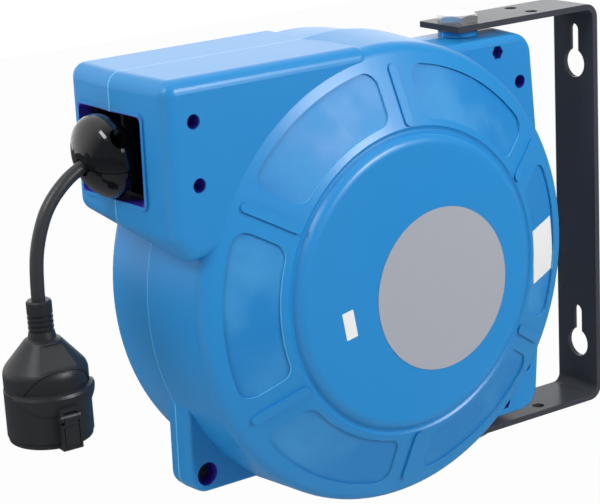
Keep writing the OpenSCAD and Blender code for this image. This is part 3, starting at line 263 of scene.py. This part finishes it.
def group_tree(name, inputs, outputs):
    """An empty node group with named float, colour or vector sockets"""
    tree = bpy.data.node_groups.new(name, "ShaderNodeTree")
    for label, kind, value in inputs:
        socket = tree.interface.new_socket(label, in_out="INPUT", socket_type=kind)
        if value is not None:
            socket.default_value = value
    for label, kind in outputs:
        tree.interface.new_socket(label, in_out="OUTPUT", socket_type=kind)
    return tree, tree.nodes.new("NodeGroupInput"), tree.nodes.new("NodeGroupOutput")


def math_node(tree, operation, *values):
    """A math node fed by numbers or by the outputs of other nodes"""
    node = tree.nodes.new("ShaderNodeMath")
    node.operation = operation
    for socket, value in zip(node.inputs, values):
        if isinstance(value, bpy.types.NodeSocket):
            tree.links.new(value, socket)
        else:
            socket.default_value = value
    return node.outputs[0]


def blend(tree, mask, kind, first, second):
    """A mix of two colours or two numbers by a mask"""
    node = tree.nodes.new("ShaderNodeMix")
    node.data_type = kind
    for label, socket in (("Factor", mask), ("A", first), ("B", second)):
        tree.links.new(socket, node.inputs[label])
    return node.outputs["Result"]


def moulded_grain():
    """Fine spark-eroded grain of moulded plastic, as a height"""
    if "Moulded grain" in bpy.data.node_groups:
        return bpy.data.node_groups["Moulded grain"]
    tree, given, result = group_tree(
        "Moulded grain",
        [("Scale", "NodeSocketFloat", 900.0), ("Depth", "NodeSocketFloat", 1.0)],
        [("Height", "NodeSocketFloat")])
    place = tree.nodes.new("ShaderNodeTexCoord")
    grain = tree.nodes.new("ShaderNodeTexNoise")
    grain.inputs["Detail"].default_value = 2.0
    tree.links.new(place.outputs["Object"], grain.inputs["Vector"])
    tree.links.new(given.outputs["Scale"], grain.inputs["Scale"])
    height = math_node(tree, "MULTIPLY", grain.outputs["Fac"], given.outputs["Depth"])
    tree.links.new(height, result.inputs["Height"])
    return tree


def handling_wear():
    """Slow patches of handling and dust: a tinted colour and a roughness"""
    if "Handling wear" in bpy.data.node_groups:
        return bpy.data.node_groups["Handling wear"]
    tree, given, result = group_tree(
        "Handling wear",
        [("Colour", "NodeSocketColor", None), ("Patch Size", "NodeSocketFloat", 9.0),
         ("Tint", "NodeSocketFloat", 0.06), ("Roughness", "NodeSocketFloat", 0.4),
         ("Spread", "NodeSocketFloat", 0.08)],
        [("Colour", "NodeSocketColor"), ("Roughness", "NodeSocketFloat")])
    place = tree.nodes.new("ShaderNodeTexCoord")
    patches = tree.nodes.new("ShaderNodeTexNoise")
    patches.inputs["Detail"].default_value = 4.0
    tinted = tree.nodes.new("ShaderNodeMix")
    tinted.data_type = "RGBA"
    tinted.inputs["B"].default_value = DUST
    link = tree.links.new
    link(place.outputs["Object"], patches.inputs["Vector"])
    link(given.outputs["Patch Size"], patches.inputs["Scale"])
    link(math_node(tree, "MULTIPLY", patches.outputs["Fac"], given.outputs["Tint"]),
         tinted.inputs["Factor"])
    link(given.outputs["Colour"], tinted.inputs["A"])
    link(tinted.outputs["Result"], result.inputs["Colour"])
    centred = math_node(tree, "SUBTRACT", patches.outputs["Fac"], 0.5)
    link(math_node(tree, "MULTIPLY_ADD", centred, given.outputs["Spread"],
                   given.outputs["Roughness"]), result.inputs["Roughness"])
    return tree


def finish(name, colour, roughness, metallic=0.0, tint=0.0, spread=0.06, grain=0.0,
           grain_scale=900.0, coat=0.0, specular=0.5, patch=9.0):
    """A material of one Principled shader, fed by the two shared groups"""
    material = bpy.data.materials.new(name)
    material.use_nodes = True
    nodes, link = material.node_tree.nodes, material.node_tree.links.new
    shader = nodes["Principled BSDF"]
    shader.inputs["Metallic"].default_value = metallic
    shader.inputs["Coat Weight"].default_value = coat
    shader.inputs["Coat Roughness"].default_value = COAT_ROUGHNESS
    shader.inputs["Specular IOR Level"].default_value = specular
    wear = nodes.new("ShaderNodeGroup")
    wear.node_tree = handling_wear()
    wear.inputs["Patch Size"].default_value = patch
    wear.inputs["Tint"].default_value = tint
    wear.inputs["Roughness"].default_value = roughness
    wear.inputs["Spread"].default_value = spread
    link(wear.outputs["Roughness"], shader.inputs["Roughness"])
    if tint:
        wear.inputs["Colour"].default_value = (*colour, 1.0)
        link(wear.outputs["Colour"], shader.inputs["Base Color"])
    else:
        shader.inputs["Base Color"].default_value = (*colour, 1.0)
    if grain:
        texture = nodes.new("ShaderNodeGroup")
        texture.node_tree = moulded_grain()
        texture.inputs["Scale"].default_value = grain_scale
        bump = nodes.new("ShaderNodeBump")
        bump.inputs["Strength"].default_value = grain
        bump.inputs["Distance"].default_value = GRAIN_HEIGHT
        link(texture.outputs["Height"], bump.inputs["Height"])
        link(bump.outputs["Normal"], shader.inputs["Normal"])
    return material


def squares(tree, across, along):
    """The sum of two squares"""
    return math_node(tree, "ADD", math_node(tree, "MULTIPLY", across, across),
                     math_node(tree, "MULTIPLY", along, along))


def panel_zones(tree, radius, y):
    """Masks of the recessed panels of the front cone and of the steps round them, where a
    highlight is painted
    """
    rise = math.tan(CONE_SLOPE)
    cone = math_node(tree, "MULTIPLY_ADD", radius, -rise, CONE_TOP_DEPTH + CONE_TOP_R * rise)
    below = math_node(tree, "ADD", cone, y)
    low, high = (PANEL_DEPTH * share for share in PANEL_STEP)
    panel = math_node(tree, "GREATER_THAN", below, PANEL_DEPTH * PANEL_FLOOR)
    step_highlight = math_node(tree, "MULTIPLY", math_node(tree, "GREATER_THAN", below, low),
                     math_node(tree, "LESS_THAN", below, high))
    for operation, edge, margin in (("GREATER_THAN", PANEL_R[0], -STEP_MARGIN),
                                    ("LESS_THAN", PANEL_R[1], STEP_MARGIN)):
        panel = math_node(tree, "MULTIPLY", panel, math_node(tree, operation, radius, edge))
        step_highlight = math_node(tree, "MULTIPLY", step_highlight,
                         math_node(tree, operation, radius, edge + margin))
    in_front = math_node(tree, "LESS_THAN", y, CONE_FRONT_Y)
    return (math_node(tree, "MULTIPLY", panel, in_front),
            math_node(tree, "MULTIPLY", step_highlight, in_front))


def recess_shade_zone(tree, u, y, z):
    """Mask of the painted shade in the cable outlet and in the screw recesses"""
    recess_shade = math_node(tree, "LESS_THAN", u, MOUTH_START)
    for value, middle, half in ((y, LEAD_Y, MOUTH_HALF[0]), (z, LEAD_Z, MOUTH_HALF[1])):
        away = math_node(tree, "ABSOLUTE", math_node(tree, "SUBTRACT", value, middle))
        recess_shade = math_node(tree, "MULTIPLY", recess_shade, math_node(tree, "LESS_THAN", away, half))
    for hole_u, hole_z, hole_r, rim in SCREW_RECESSES:
        away = squares(tree, math_node(tree, "SUBTRACT", u, hole_u),
                       math_node(tree, "SUBTRACT", z, hole_z))
        inside = math_node(tree, "MULTIPLY", math_node(tree, "LESS_THAN", away, hole_r ** 2),
                           math_node(tree, "GREATER_THAN", y, -rim))
        recess_shade = math_node(tree, "MAXIMUM", recess_shade, inside)
    return recess_shade


def shell_zones():
    """Matt panels on the cone with a painted cloudy sheen, painted violet shade in the recesses
    and a painted paler highlight on the edges
    """
    tree, given, result = group_tree(
        "Shell zones",
        [("Colour", "NodeSocketColor", None), ("Roughness", "NodeSocketFloat", 0.3),
         ("Panel Colour", "NodeSocketColor", None), ("Panel Roughness", "NodeSocketFloat", 0.5),
         ("Recess Shade Colour", "NodeSocketColor", None), ("Edge Highlight Colour", "NodeSocketColor", None)],
        [("Colour", "NodeSocketColor"), ("Roughness", "NodeSocketFloat")])
    place = tree.nodes.new("ShaderNodeTexCoord")
    split = tree.nodes.new("ShaderNodeSeparateXYZ")
    tree.links.new(place.outputs["Object"], split.inputs[0])
    x, y, z = split.outputs
    u = math_node(tree, "SUBTRACT", x, DRUM_AXIS_X)
    radius = math_node(tree, "SQRT", squares(tree, u, z))
    panel, step_highlight = panel_zones(tree, radius, y)
    recess_shade = recess_shade_zone(tree, u, y, z)
    clouds = tree.nodes.new("ShaderNodeTexNoise")
    clouds.inputs["Scale"].default_value = CLOUD_SCALE
    clouds.inputs["Detail"].default_value = 5.0
    tree.links.new(place.outputs["Object"], clouds.inputs["Vector"])
    # Painted sheen: the panels turn paler towards the edge highlight colour where the clouds
    # are high
    painted_sheen = math_node(tree, "MULTIPLY", SHEEN_STRENGTH, math_node(
        tree, "MAXIMUM", 0.0, math_node(
            tree, "SUBTRACT", clouds.outputs["Fac"], SHEEN_START)))
    matt = math_node(tree, "ADD", given.outputs["Panel Roughness"], math_node(
        tree, "MULTIPLY_ADD", clouds.outputs["Fac"], CLOUD_ROUGHNESS, -CLOUD_ROUGHNESS / 2))
    sheen_panel = blend(tree, painted_sheen, "RGBA", given.outputs["Panel Colour"],
                 given.outputs["Edge Highlight Colour"])
    paint = blend(tree, panel, "RGBA", given.outputs["Colour"], sheen_panel)
    # Painted shade: violet in the cable outlet and in the screw recesses
    paint = blend(tree, recess_shade, "RGBA", paint, given.outputs["Recess Shade Colour"])
    # Painted highlight: paler blue along the seam of the shells and on the steps round the
    # panels
    seam_highlight = math_node(tree, "LESS_THAN", math_node(tree, "ABSOLUTE", y), SEAM_HALF)
    pale = math_node(tree, "MAXIMUM", seam_highlight, step_highlight)
    paint = blend(tree, pale, "RGBA", paint, given.outputs["Edge Highlight Colour"])
    rough = blend(tree, panel, "FLOAT", given.outputs["Roughness"], matt)
    tree.links.new(paint, result.inputs["Colour"])
    tree.links.new(rough, result.inputs["Roughness"])
    return tree


def add_zones(material):
    """Sends a material's colour and roughness through the zones of the shell, which add painted
    shade and painted highlights
    """
    tree = material.node_tree
    shader = tree.nodes["Principled BSDF"]
    zones = tree.nodes.new("ShaderNodeGroup")
    zones.node_tree = shell_zones()
    zones.inputs["Panel Colour"].default_value = (*colours().panel_blue, 1.0)
    zones.inputs["Panel Roughness"].default_value = PANEL_ROUGHNESS
    zones.inputs["Recess Shade Colour"].default_value = (*colours().recess_shade_violet, 1.0)
    zones.inputs["Edge Highlight Colour"].default_value = (*colours().edge_highlight_blue, 1.0)
    for label, socket in (("Colour", "Base Color"), ("Roughness", "Roughness")):
        source = shader.inputs[socket].links[0].from_socket
        tree.links.new(source, zones.inputs[label])
        tree.links.new(zones.outputs[label], shader.inputs[socket])


def dress(material, *names):
    """Puts a material on solids that keep their own shape"""
    for name in names:
        solid = NODES[name]
        solid.data.materials.clear()
        solid.data.materials.append(material)


# ---- small mesh tools ----

def new_piece(name, mesh, material):
    """An object of a mesh and a material, in the scene"""
    piece = bpy.data.objects.new(name, mesh)
    bpy.context.collection.objects.link(piece)
    piece.data.materials.append(material)
    return piece


def smooth_curve(points, steps):
    """Points on a Catmull-Rom curve through the given ones"""
    result = []
    last = len(points) - 1
    for i in range(last):
        a, b, c, d = (Vector(points[min(max(k, 0), last)]) for k in (i - 1, i, i + 1, i + 2))
        for k in range(steps):
            t = k / steps
            result.append(b + t / 2 * ((c - a) + t * (
                (2 * a - 5 * b + 4 * c - d) + t * (3 * (b - c) + d - a))))
    result.append(Vector(points[last]))
    return result


def rounded_outline(width, height, radius, steps=5):
    """Points round a rectangle with rounded corners, about its middle"""
    points = []
    for quarter, (sx, sy) in enumerate(((1, 1), (-1, 1), (-1, -1), (1, -1))):
        for i in range(steps + 1):
            turn = math.radians(90 * (quarter + i / steps))
            points.append((sx * (width / 2 - radius) + radius * math.cos(turn),
                           sy * (height / 2 - radius) + radius * math.sin(turn)))
    return points


def sheet_mesh(name, outline, thickness):
    """A thin plate on its own XY plane, its face towards +Z"""
    mesh = bpy.data.meshes.new(name)
    shape = bmesh.new()
    lower = [shape.verts.new((x, y, 0.0)) for x, y in outline]
    upper = [shape.verts.new((x, y, thickness)) for x, y in outline]
    shape.faces.new(upper)
    shape.faces.new(list(reversed(lower)))
    count = len(outline)
    for i in range(count):
        j = (i + 1) % count
        shape.faces.new((lower[i], lower[j], upper[j], upper[i]))
    shape.to_mesh(mesh)
    shape.free()
    return mesh


def bend_to_cone(piece, u_mid, v_mid, turn):
    """Turns a flat sheet and lays it on the recessed panel of the front cone"""
    mesh = piece.data
    shape = bmesh.new()
    shape.from_mesh(mesh)
    bmesh.ops.triangulate(shape, faces=shape.faces[:])
    bmesh.ops.subdivide_edges(shape, edges=shape.edges[:], cuts=3, use_grid_fill=True)
    for vertex in shape.verts:
        across = vertex.co.x * math.cos(turn) - vertex.co.y * math.sin(turn)
        u = u_mid + across * math.cos(CONE_SLOPE)
        v = v_mid + vertex.co.x * math.sin(turn) + vertex.co.y * math.cos(turn)
        radius = math.hypot(u, v)
        depth = CONE_TOP_DEPTH + (CONE_TOP_R - radius) * math.tan(CONE_SLOPE)
        depth += vertex.co.z - PANEL_DEPTH + STICKER_LIFT
        vertex.co = (DRUM_AXIS_X + u, -depth, v)
    shape.to_mesh(mesh)
    shape.free()


# ---- operators: camera and cable first ----

class REEL_OT_camera(Operator):
    """Sets the camera in front of the cable outlet, a little above the reel"""

    bl_idname = "reel.camera"
    bl_label = "Camera"

    def execute(self, context):
        data = bpy.data.cameras.new("studio_camera")
        data.lens = sizes().lens
        data.sensor_width = CAMERA_SENSOR
        data.shift_y = CAMERA_SHIFT_Y
        data.clip_end = CAMERA_CLIP_END
        camera = bpy.data.objects.new("studio_camera", data)
        context.collection.objects.link(camera)
        level = math.cos(CAMERA_ELEVATION)
        ahead = Vector((-math.sin(CAMERA_AZIMUTH) * level, math.cos(CAMERA_AZIMUTH) * level,
                        -math.sin(CAMERA_ELEVATION)))
        right = Vector((math.cos(CAMERA_AZIMUTH), math.sin(CAMERA_AZIMUTH), 0.0))
        up = right.cross(ahead)
        right, up = (right * math.cos(CAMERA_ROLL) + up * math.sin(CAMERA_ROLL),
                     up * math.cos(CAMERA_ROLL) - right * math.sin(CAMERA_ROLL))
        basis = Matrix((right, up, -ahead)).transposed().to_4x4()
        place = CAMERA_TARGET - ahead * CAMERA_DISTANCE
        camera.matrix_world = Matrix.Translation(place) @ basis
        context.scene.camera = camera
        return {"FINISHED"}


class REEL_OT_hanging_cable(Operator):
    """Makes the cable that hangs from the ball stop down to the coupling"""

    bl_idname = "reel.hanging_cable"
    bl_label = "Hanging cable"

    def execute(self, context):
        run = CABLE_LAST_RUN
        end = (CABLE_ROUTE[-1][0] + run * math.sin(SOCKET_LEAN),
               CABLE_ROUTE[-1][1] - run * math.cos(SOCKET_LEAN))
        start_x = DRUM_AXIS_X - BALL_REACH + LEAD_START
        points = [Vector((start_x + p[0], LEAD_Y, LEAD_Z + p[1])) for p in
                  [CABLE_ROUTE[0]] + smooth_curve(CABLE_ROUTE[1:], 3) + [Vector(end)]]
        curve = bpy.data.curves.new("hanging_cable", "CURVE")
        curve.dimensions = "3D"
        curve.bevel_depth = sizes().cable_diameter / 2
        curve.bevel_resolution = 8
        curve.use_fill_caps = True
        spline = curve.splines.new("POLY")
        spline.points.add(len(points) - 1)
        for point, place in zip(spline.points, points):
            point.co = (*place, 1.0)
        spline.use_smooth = True
        cable = bpy.data.objects.new("hanging_cable", curve)
        context.collection.objects.link(cable)
        curve.materials.append(finish("cable sheath", colours().rubber_black, 0.36,
                                      tint=0.05, grain=0.25, grain_scale=1500.0))
        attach(cable, "cable_end")
        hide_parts("cable_tail")
        return {"FINISHED"}


class REEL_OT_shell_finish(Operator):
    """Gives the two shells and the swivel bushes their moulded blue"""

    bl_idname = "reel.shell_finish"
    bl_label = "Blue shells"

    def execute(self, context):
        blue = finish("moulded blue", colours().shell_blue, 0.33, tint=0.03, spread=0.05,
                      grain=0.10, grain_scale=700.0, patch=6.0)
        add_zones(blue)
        dress(blue, "front_shell", "rear_shell", "pivot_bushes")
        return {"FINISHED"}


class REEL_OT_bracket_finish(Operator):
    """Gives the wall bracket its black paint and its bolts their zinc"""

    bl_idname = "reel.bracket_finish"
    bl_label = "Wall bracket"

    def execute(self, context):
        paint = finish("stoved black paint", colours().strap_black, 0.26,
                       spread=0.10, grain=0.10, grain_scale=260.0, specular=0.07)
        dress(paint, "wall_bracket")
        zinc = finish("plated zinc", colours().zinc, 0.34, metallic=1.0, spread=0.15,
                      grain=0.1, grain_scale=1200.0, patch=60.0)
        dress(zinc, "pivot_bolts", "pivot_nuts", "shell_nuts", "axle",
              "axle_nut", "roller_pins", "pawl_pin", "pawl_spring", "drum_screws",
              "spring_cover", "cover_screws", "spring_arbor", "insert_screw", "lid_pin",
              "lid_spring", "ball_nuts")
        dark = finish("blackened screw", (0.05, 0.05, 0.055), 0.4, metallic=1.0,
                      spread=0.1, patch=60.0)
        dress(dark, "ball_screws", "shell_screws")
        washer = finish("white acetal", (0.72, 0.71, 0.68), 0.45, spread=0.05)
        dress(washer, "pivot_washers", "hub_bushes", "ratchet_ring", "cable_clamp")
        return {"FINISHED"}


class REEL_OT_cable_pieces(Operator):
    """Finishes the ball stop, the lead and the coupling socket"""

    bl_idname = "reel.cable_pieces"
    bl_label = "Ball stop and coupling"

    def execute(self, context):
        polish = finish("polished black", (0.004, 0.0045, 0.006), 0.10, spread=0.04,
                        coat=0.3, patch=14.0)
        dress(polish, "ball_upper", "ball_lower")
        rubber = finish("coupling rubber", colours().rubber_black, 0.40, tint=0.02,
                        spread=0.10, grain=0.35, grain_scale=1100.0, specular=0.38,
                        patch=20.0)
        dress(rubber, "coupling_body", "coupling_lid", "cable_lead", "cable_outer_layer",
              "cable_core", "cable_tail")
        hard = finish("black nylon", (0.007, 0.007, 0.009), 0.42, spread=0.06, grain=0.2,
                      specular=0.3)
        dress(hard, "guide_frame", "supply_gland", "gland_nut", "drum_hub", "front_flange",
              "brush_holder", "thermal_cutout", "coupling_insert", "spring_case",
              "roller_top", "roller_bottom", "roller_front", "roller_rear")
        brass = finish("bright brass", (0.70, 0.50, 0.20), 0.25, metallic=1.0, spread=0.12,
                       patch=70.0)
        dress(brass, "contact_sleeves", "earth_clips", "slip_rings", "brush_leaves", "pawl")
        return {"FINISHED"}


class REEL_OT_inner_pieces(Operator):
    """Finishes the return spring, the slip-ring carrier and the reset button"""

    bl_idname = "reel.inner_pieces"
    bl_label = "Inner pieces"

    def execute(self, context):
        dress(finish("oiled spring strip", (0.22, 0.23, 0.25), 0.3, metallic=1.0,
                     spread=0.15, patch=40.0), "return_spring")
        dress(finish("brown phenolic", (0.16, 0.045, 0.025), 0.4, tint=0.05, patch=50.0),
              "slip_ring_carrier")
        dress(finish("red button", (0.55, 0.02, 0.015), 0.3, spread=0.05), "reset_button")
        return {"FINISHED"}


class REEL_OT_labels(Operator):
    """Makes the bare round label and the two bare white stickers"""

    bl_idname = "reel.labels"
    bl_label = "Bare labels"

    def execute(self, context):
        film = finish("label film", colours().label_grey, 0.38, tint=0.02, spread=0.04,
                      patch=25.0)
        dress(film, "front_label")
        paper = finish("white sticker", colours().sticker_white, 0.45, spread=0.04,
                       patch=40.0)
        size = sizes()
        small = new_piece("disc_sticker", sheet_mesh(
            "disc_sticker",
            rounded_outline(size.sticker_width, size.sticker_height, STICKER_CORNER),
            STICKER_THICKNESS), paper)
        u, v, turn = DISC_STICKER
        small.matrix_world = (
            Matrix.Translation((DRUM_AXIS_X + u, DISC_FACE_Y, v))
            @ Euler((math.radians(90), 0, 0)).to_matrix().to_4x4()
            @ Matrix.Rotation(turn, 4, "Z"))
        side = new_piece("cone_sticker", sheet_mesh(
            "cone_sticker",
            rounded_outline(size.side_label_width, size.side_label_height, STICKER_CORNER),
            STICKER_THICKNESS), paper)
        bend_to_cone(side, *CONE_STICKER)
        for piece in (small, side):
            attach(piece, "housing")
        return {"FINISHED"}


# ---- studio ----

def seen_rays(tree):
    """One for rays that show the backdrop: to the camera, mirrored or through glass"""
    ray = tree.nodes.new("ShaderNodeLightPath")
    total = ray.outputs["Is Camera Ray"]
    for kind in ("Is Glossy Ray", "Is Transmission Ray"):
        total = math_node(tree, "MAXIMUM", total, ray.outputs[kind])
    return total


def surround(tree):
    """White surroundings, dimmer for what lies in front of the reel and is mirrored in it"""
    nodes, link = tree.nodes, tree.links.new
    nodes.clear()
    output = nodes.new("ShaderNodeOutputWorld")
    lit = nodes.new("ShaderNodeBackground")
    lit.inputs["Color"].default_value = LIT_COLOUR
    lit.inputs["Strength"].default_value = LIT_STRENGTH
    white = nodes.new("ShaderNodeBackground")
    white.inputs["Color"].default_value = (*WHITE, 1.0)
    place = nodes.new("ShaderNodeTexCoord")
    split = nodes.new("ShaderNodeSeparateXYZ")
    link(place.outputs["Generated"], split.inputs[0])
    fade = nodes.new("ShaderNodeMapRange")
    for label, bounds in (("From", MIRROR_RANGE), ("To", MIRROR_STRENGTH)):
        fade.inputs[f"{label} Min"].default_value = bounds[0]
        fade.inputs[f"{label} Max"].default_value = bounds[1]
    link(math_node(tree, "MULTIPLY_ADD", split.outputs["Z"], MIRROR_RISE, split.outputs["Y"]),
         fade.inputs["Value"])
    ray = nodes.new("ShaderNodeLightPath")
    link(math_node(tree, "MAXIMUM", ray.outputs["Is Camera Ray"], fade.outputs["Result"]),
         white.inputs["Strength"])
    mix = nodes.new("ShaderNodeMixShader")
    link(seen_rays(tree), mix.inputs[0])
    link(lit.outputs[0], mix.inputs[1])
    link(white.outputs[0], mix.inputs[2])
    link(mix.outputs[0], output.inputs["Surface"])


def pale_floor():
    """A pale board that is white to the camera, keeps its shadow and is mirrored dimly"""
    pale = bpy.data.materials.new("pale floor")
    pale.use_nodes = True
    tree = pale.node_tree
    nodes, link = tree.nodes, tree.links.new
    board = nodes["Principled BSDF"]
    board.inputs["Roughness"].default_value = 0.8
    glow = nodes.new("ShaderNodeEmission")
    glow.inputs["Strength"].default_value = 1.0
    ray = nodes.new("ShaderNodeLightPath")
    dim = nodes.new("ShaderNodeMix")
    dim.data_type = "RGBA"
    dim.inputs["A"].default_value = (*colours().backdrop_white, 1.0)
    dim.inputs["B"].default_value = MIRRORED_FLOOR
    link(ray.outputs["Is Glossy Ray"], dim.inputs["Factor"])
    link(dim.outputs["Result"], board.inputs["Base Color"])
    pick = nodes.new("ShaderNodeMixShader")
    link(math_node(tree, "MULTIPLY", ray.outputs["Is Camera Ray"], FLOOR_WHITE),
         pick.inputs[0])
    link(board.outputs[0], pick.inputs[1])
    link(glow.outputs[0], pick.inputs[2])
    link(pick.outputs[0], nodes["Material Output"].inputs["Surface"])
    return pale


class REEL_OT_stage(Operator):
    """Sets the pale floor, the white surroundings and the soft studio lamps"""

    bl_idname = "reel.stage"
    bl_label = "Studio"

    def execute(self, context):
        scene = context.scene
        scene.view_settings.view_transform = "Standard"
        world = bpy.data.worlds.new("studio")
        scene.world = world
        world.use_nodes = True
        surround(world.node_tree)

        mesh = bpy.data.meshes.new("studio_floor")
        level = SOLID_BOX[0][2] - FLOOR_DROP
        mesh.from_pydata(
            [(x * FLOOR_REACH, y * FLOOR_REACH, level)
             for x, y in ((-1, -1), (1, -1), (1, 1), (-1, 1))], [], [(0, 1, 2, 3)])
        floor = new_piece("studio_floor", mesh, pale_floor())

        for name, place, energy, width, colour, mirrored in LAMPS:
            data = bpy.data.lights.new(name, "AREA")
            data.energy = energy
            data.color = colour
            data.shape = "SQUARE"
            data.size = width
            lamp = bpy.data.objects.new(name, data)
            context.collection.objects.link(lamp)
            lamp.location = place
            lamp.visible_camera = False
            lamp.visible_glossy = mirrored
            aim = LAMP_AIM - Vector(place)
            lamp.rotation_euler = aim.to_track_quat("-Z", "Y").to_euler()
        return {"FINISHED"}


OPERATORS = (
    REEL_OT_camera, REEL_OT_hanging_cable, REEL_OT_shell_finish, REEL_OT_bracket_finish,
    REEL_OT_cable_pieces, REEL_OT_inner_pieces, REEL_OT_labels, REEL_OT_stage,
)


class VIEW3D_PT_cable_reel(Panel):
    """Lists what the reel's looks are made from"""

    bl_label = "Cable Reel"
    bl_space_type = "VIEW_3D"
    bl_region_type = "UI"
    bl_category = "Cable Reel"

    def draw(self, context):
        layout = self.layout
        for settings in (context.scene.reel_sizes, context.scene.reel_colours):
            box = layout.box()
            for name in settings.__annotations__:
                box.prop(settings, name)
        for operator in OPERATORS:
            layout.operator(operator.bl_idname)


CLASSES = (ReelColours, ReelSizes) + OPERATORS + (VIEW3D_PT_cable_reel,)


def register():
    for item in CLASSES:
        bpy.utils.register_class(item)
    bpy.types.Scene.reel_colours = PointerProperty(type=ReelColours)
    bpy.types.Scene.reel_sizes = PointerProperty(type=ReelSizes)


def unregister():
    del bpy.types.Scene.reel_sizes
    del bpy.types.Scene.reel_colours
    for item in reversed(CLASSES):
        bpy.utils.unregister_class(item)


def main():
    register()
    bpy.ops.reel.camera()
    bpy.ops.reel.hanging_cable()
    bpy.ops.reel.shell_finish()
    bpy.ops.reel.bracket_finish()
    bpy.ops.reel.cable_pieces()
    bpy.ops.reel.inner_pieces()
    bpy.ops.reel.labels()
    bpy.ops.reel.stage()
    bpy.context.view_layer.update()


if __name__ == "__main__":
    main()
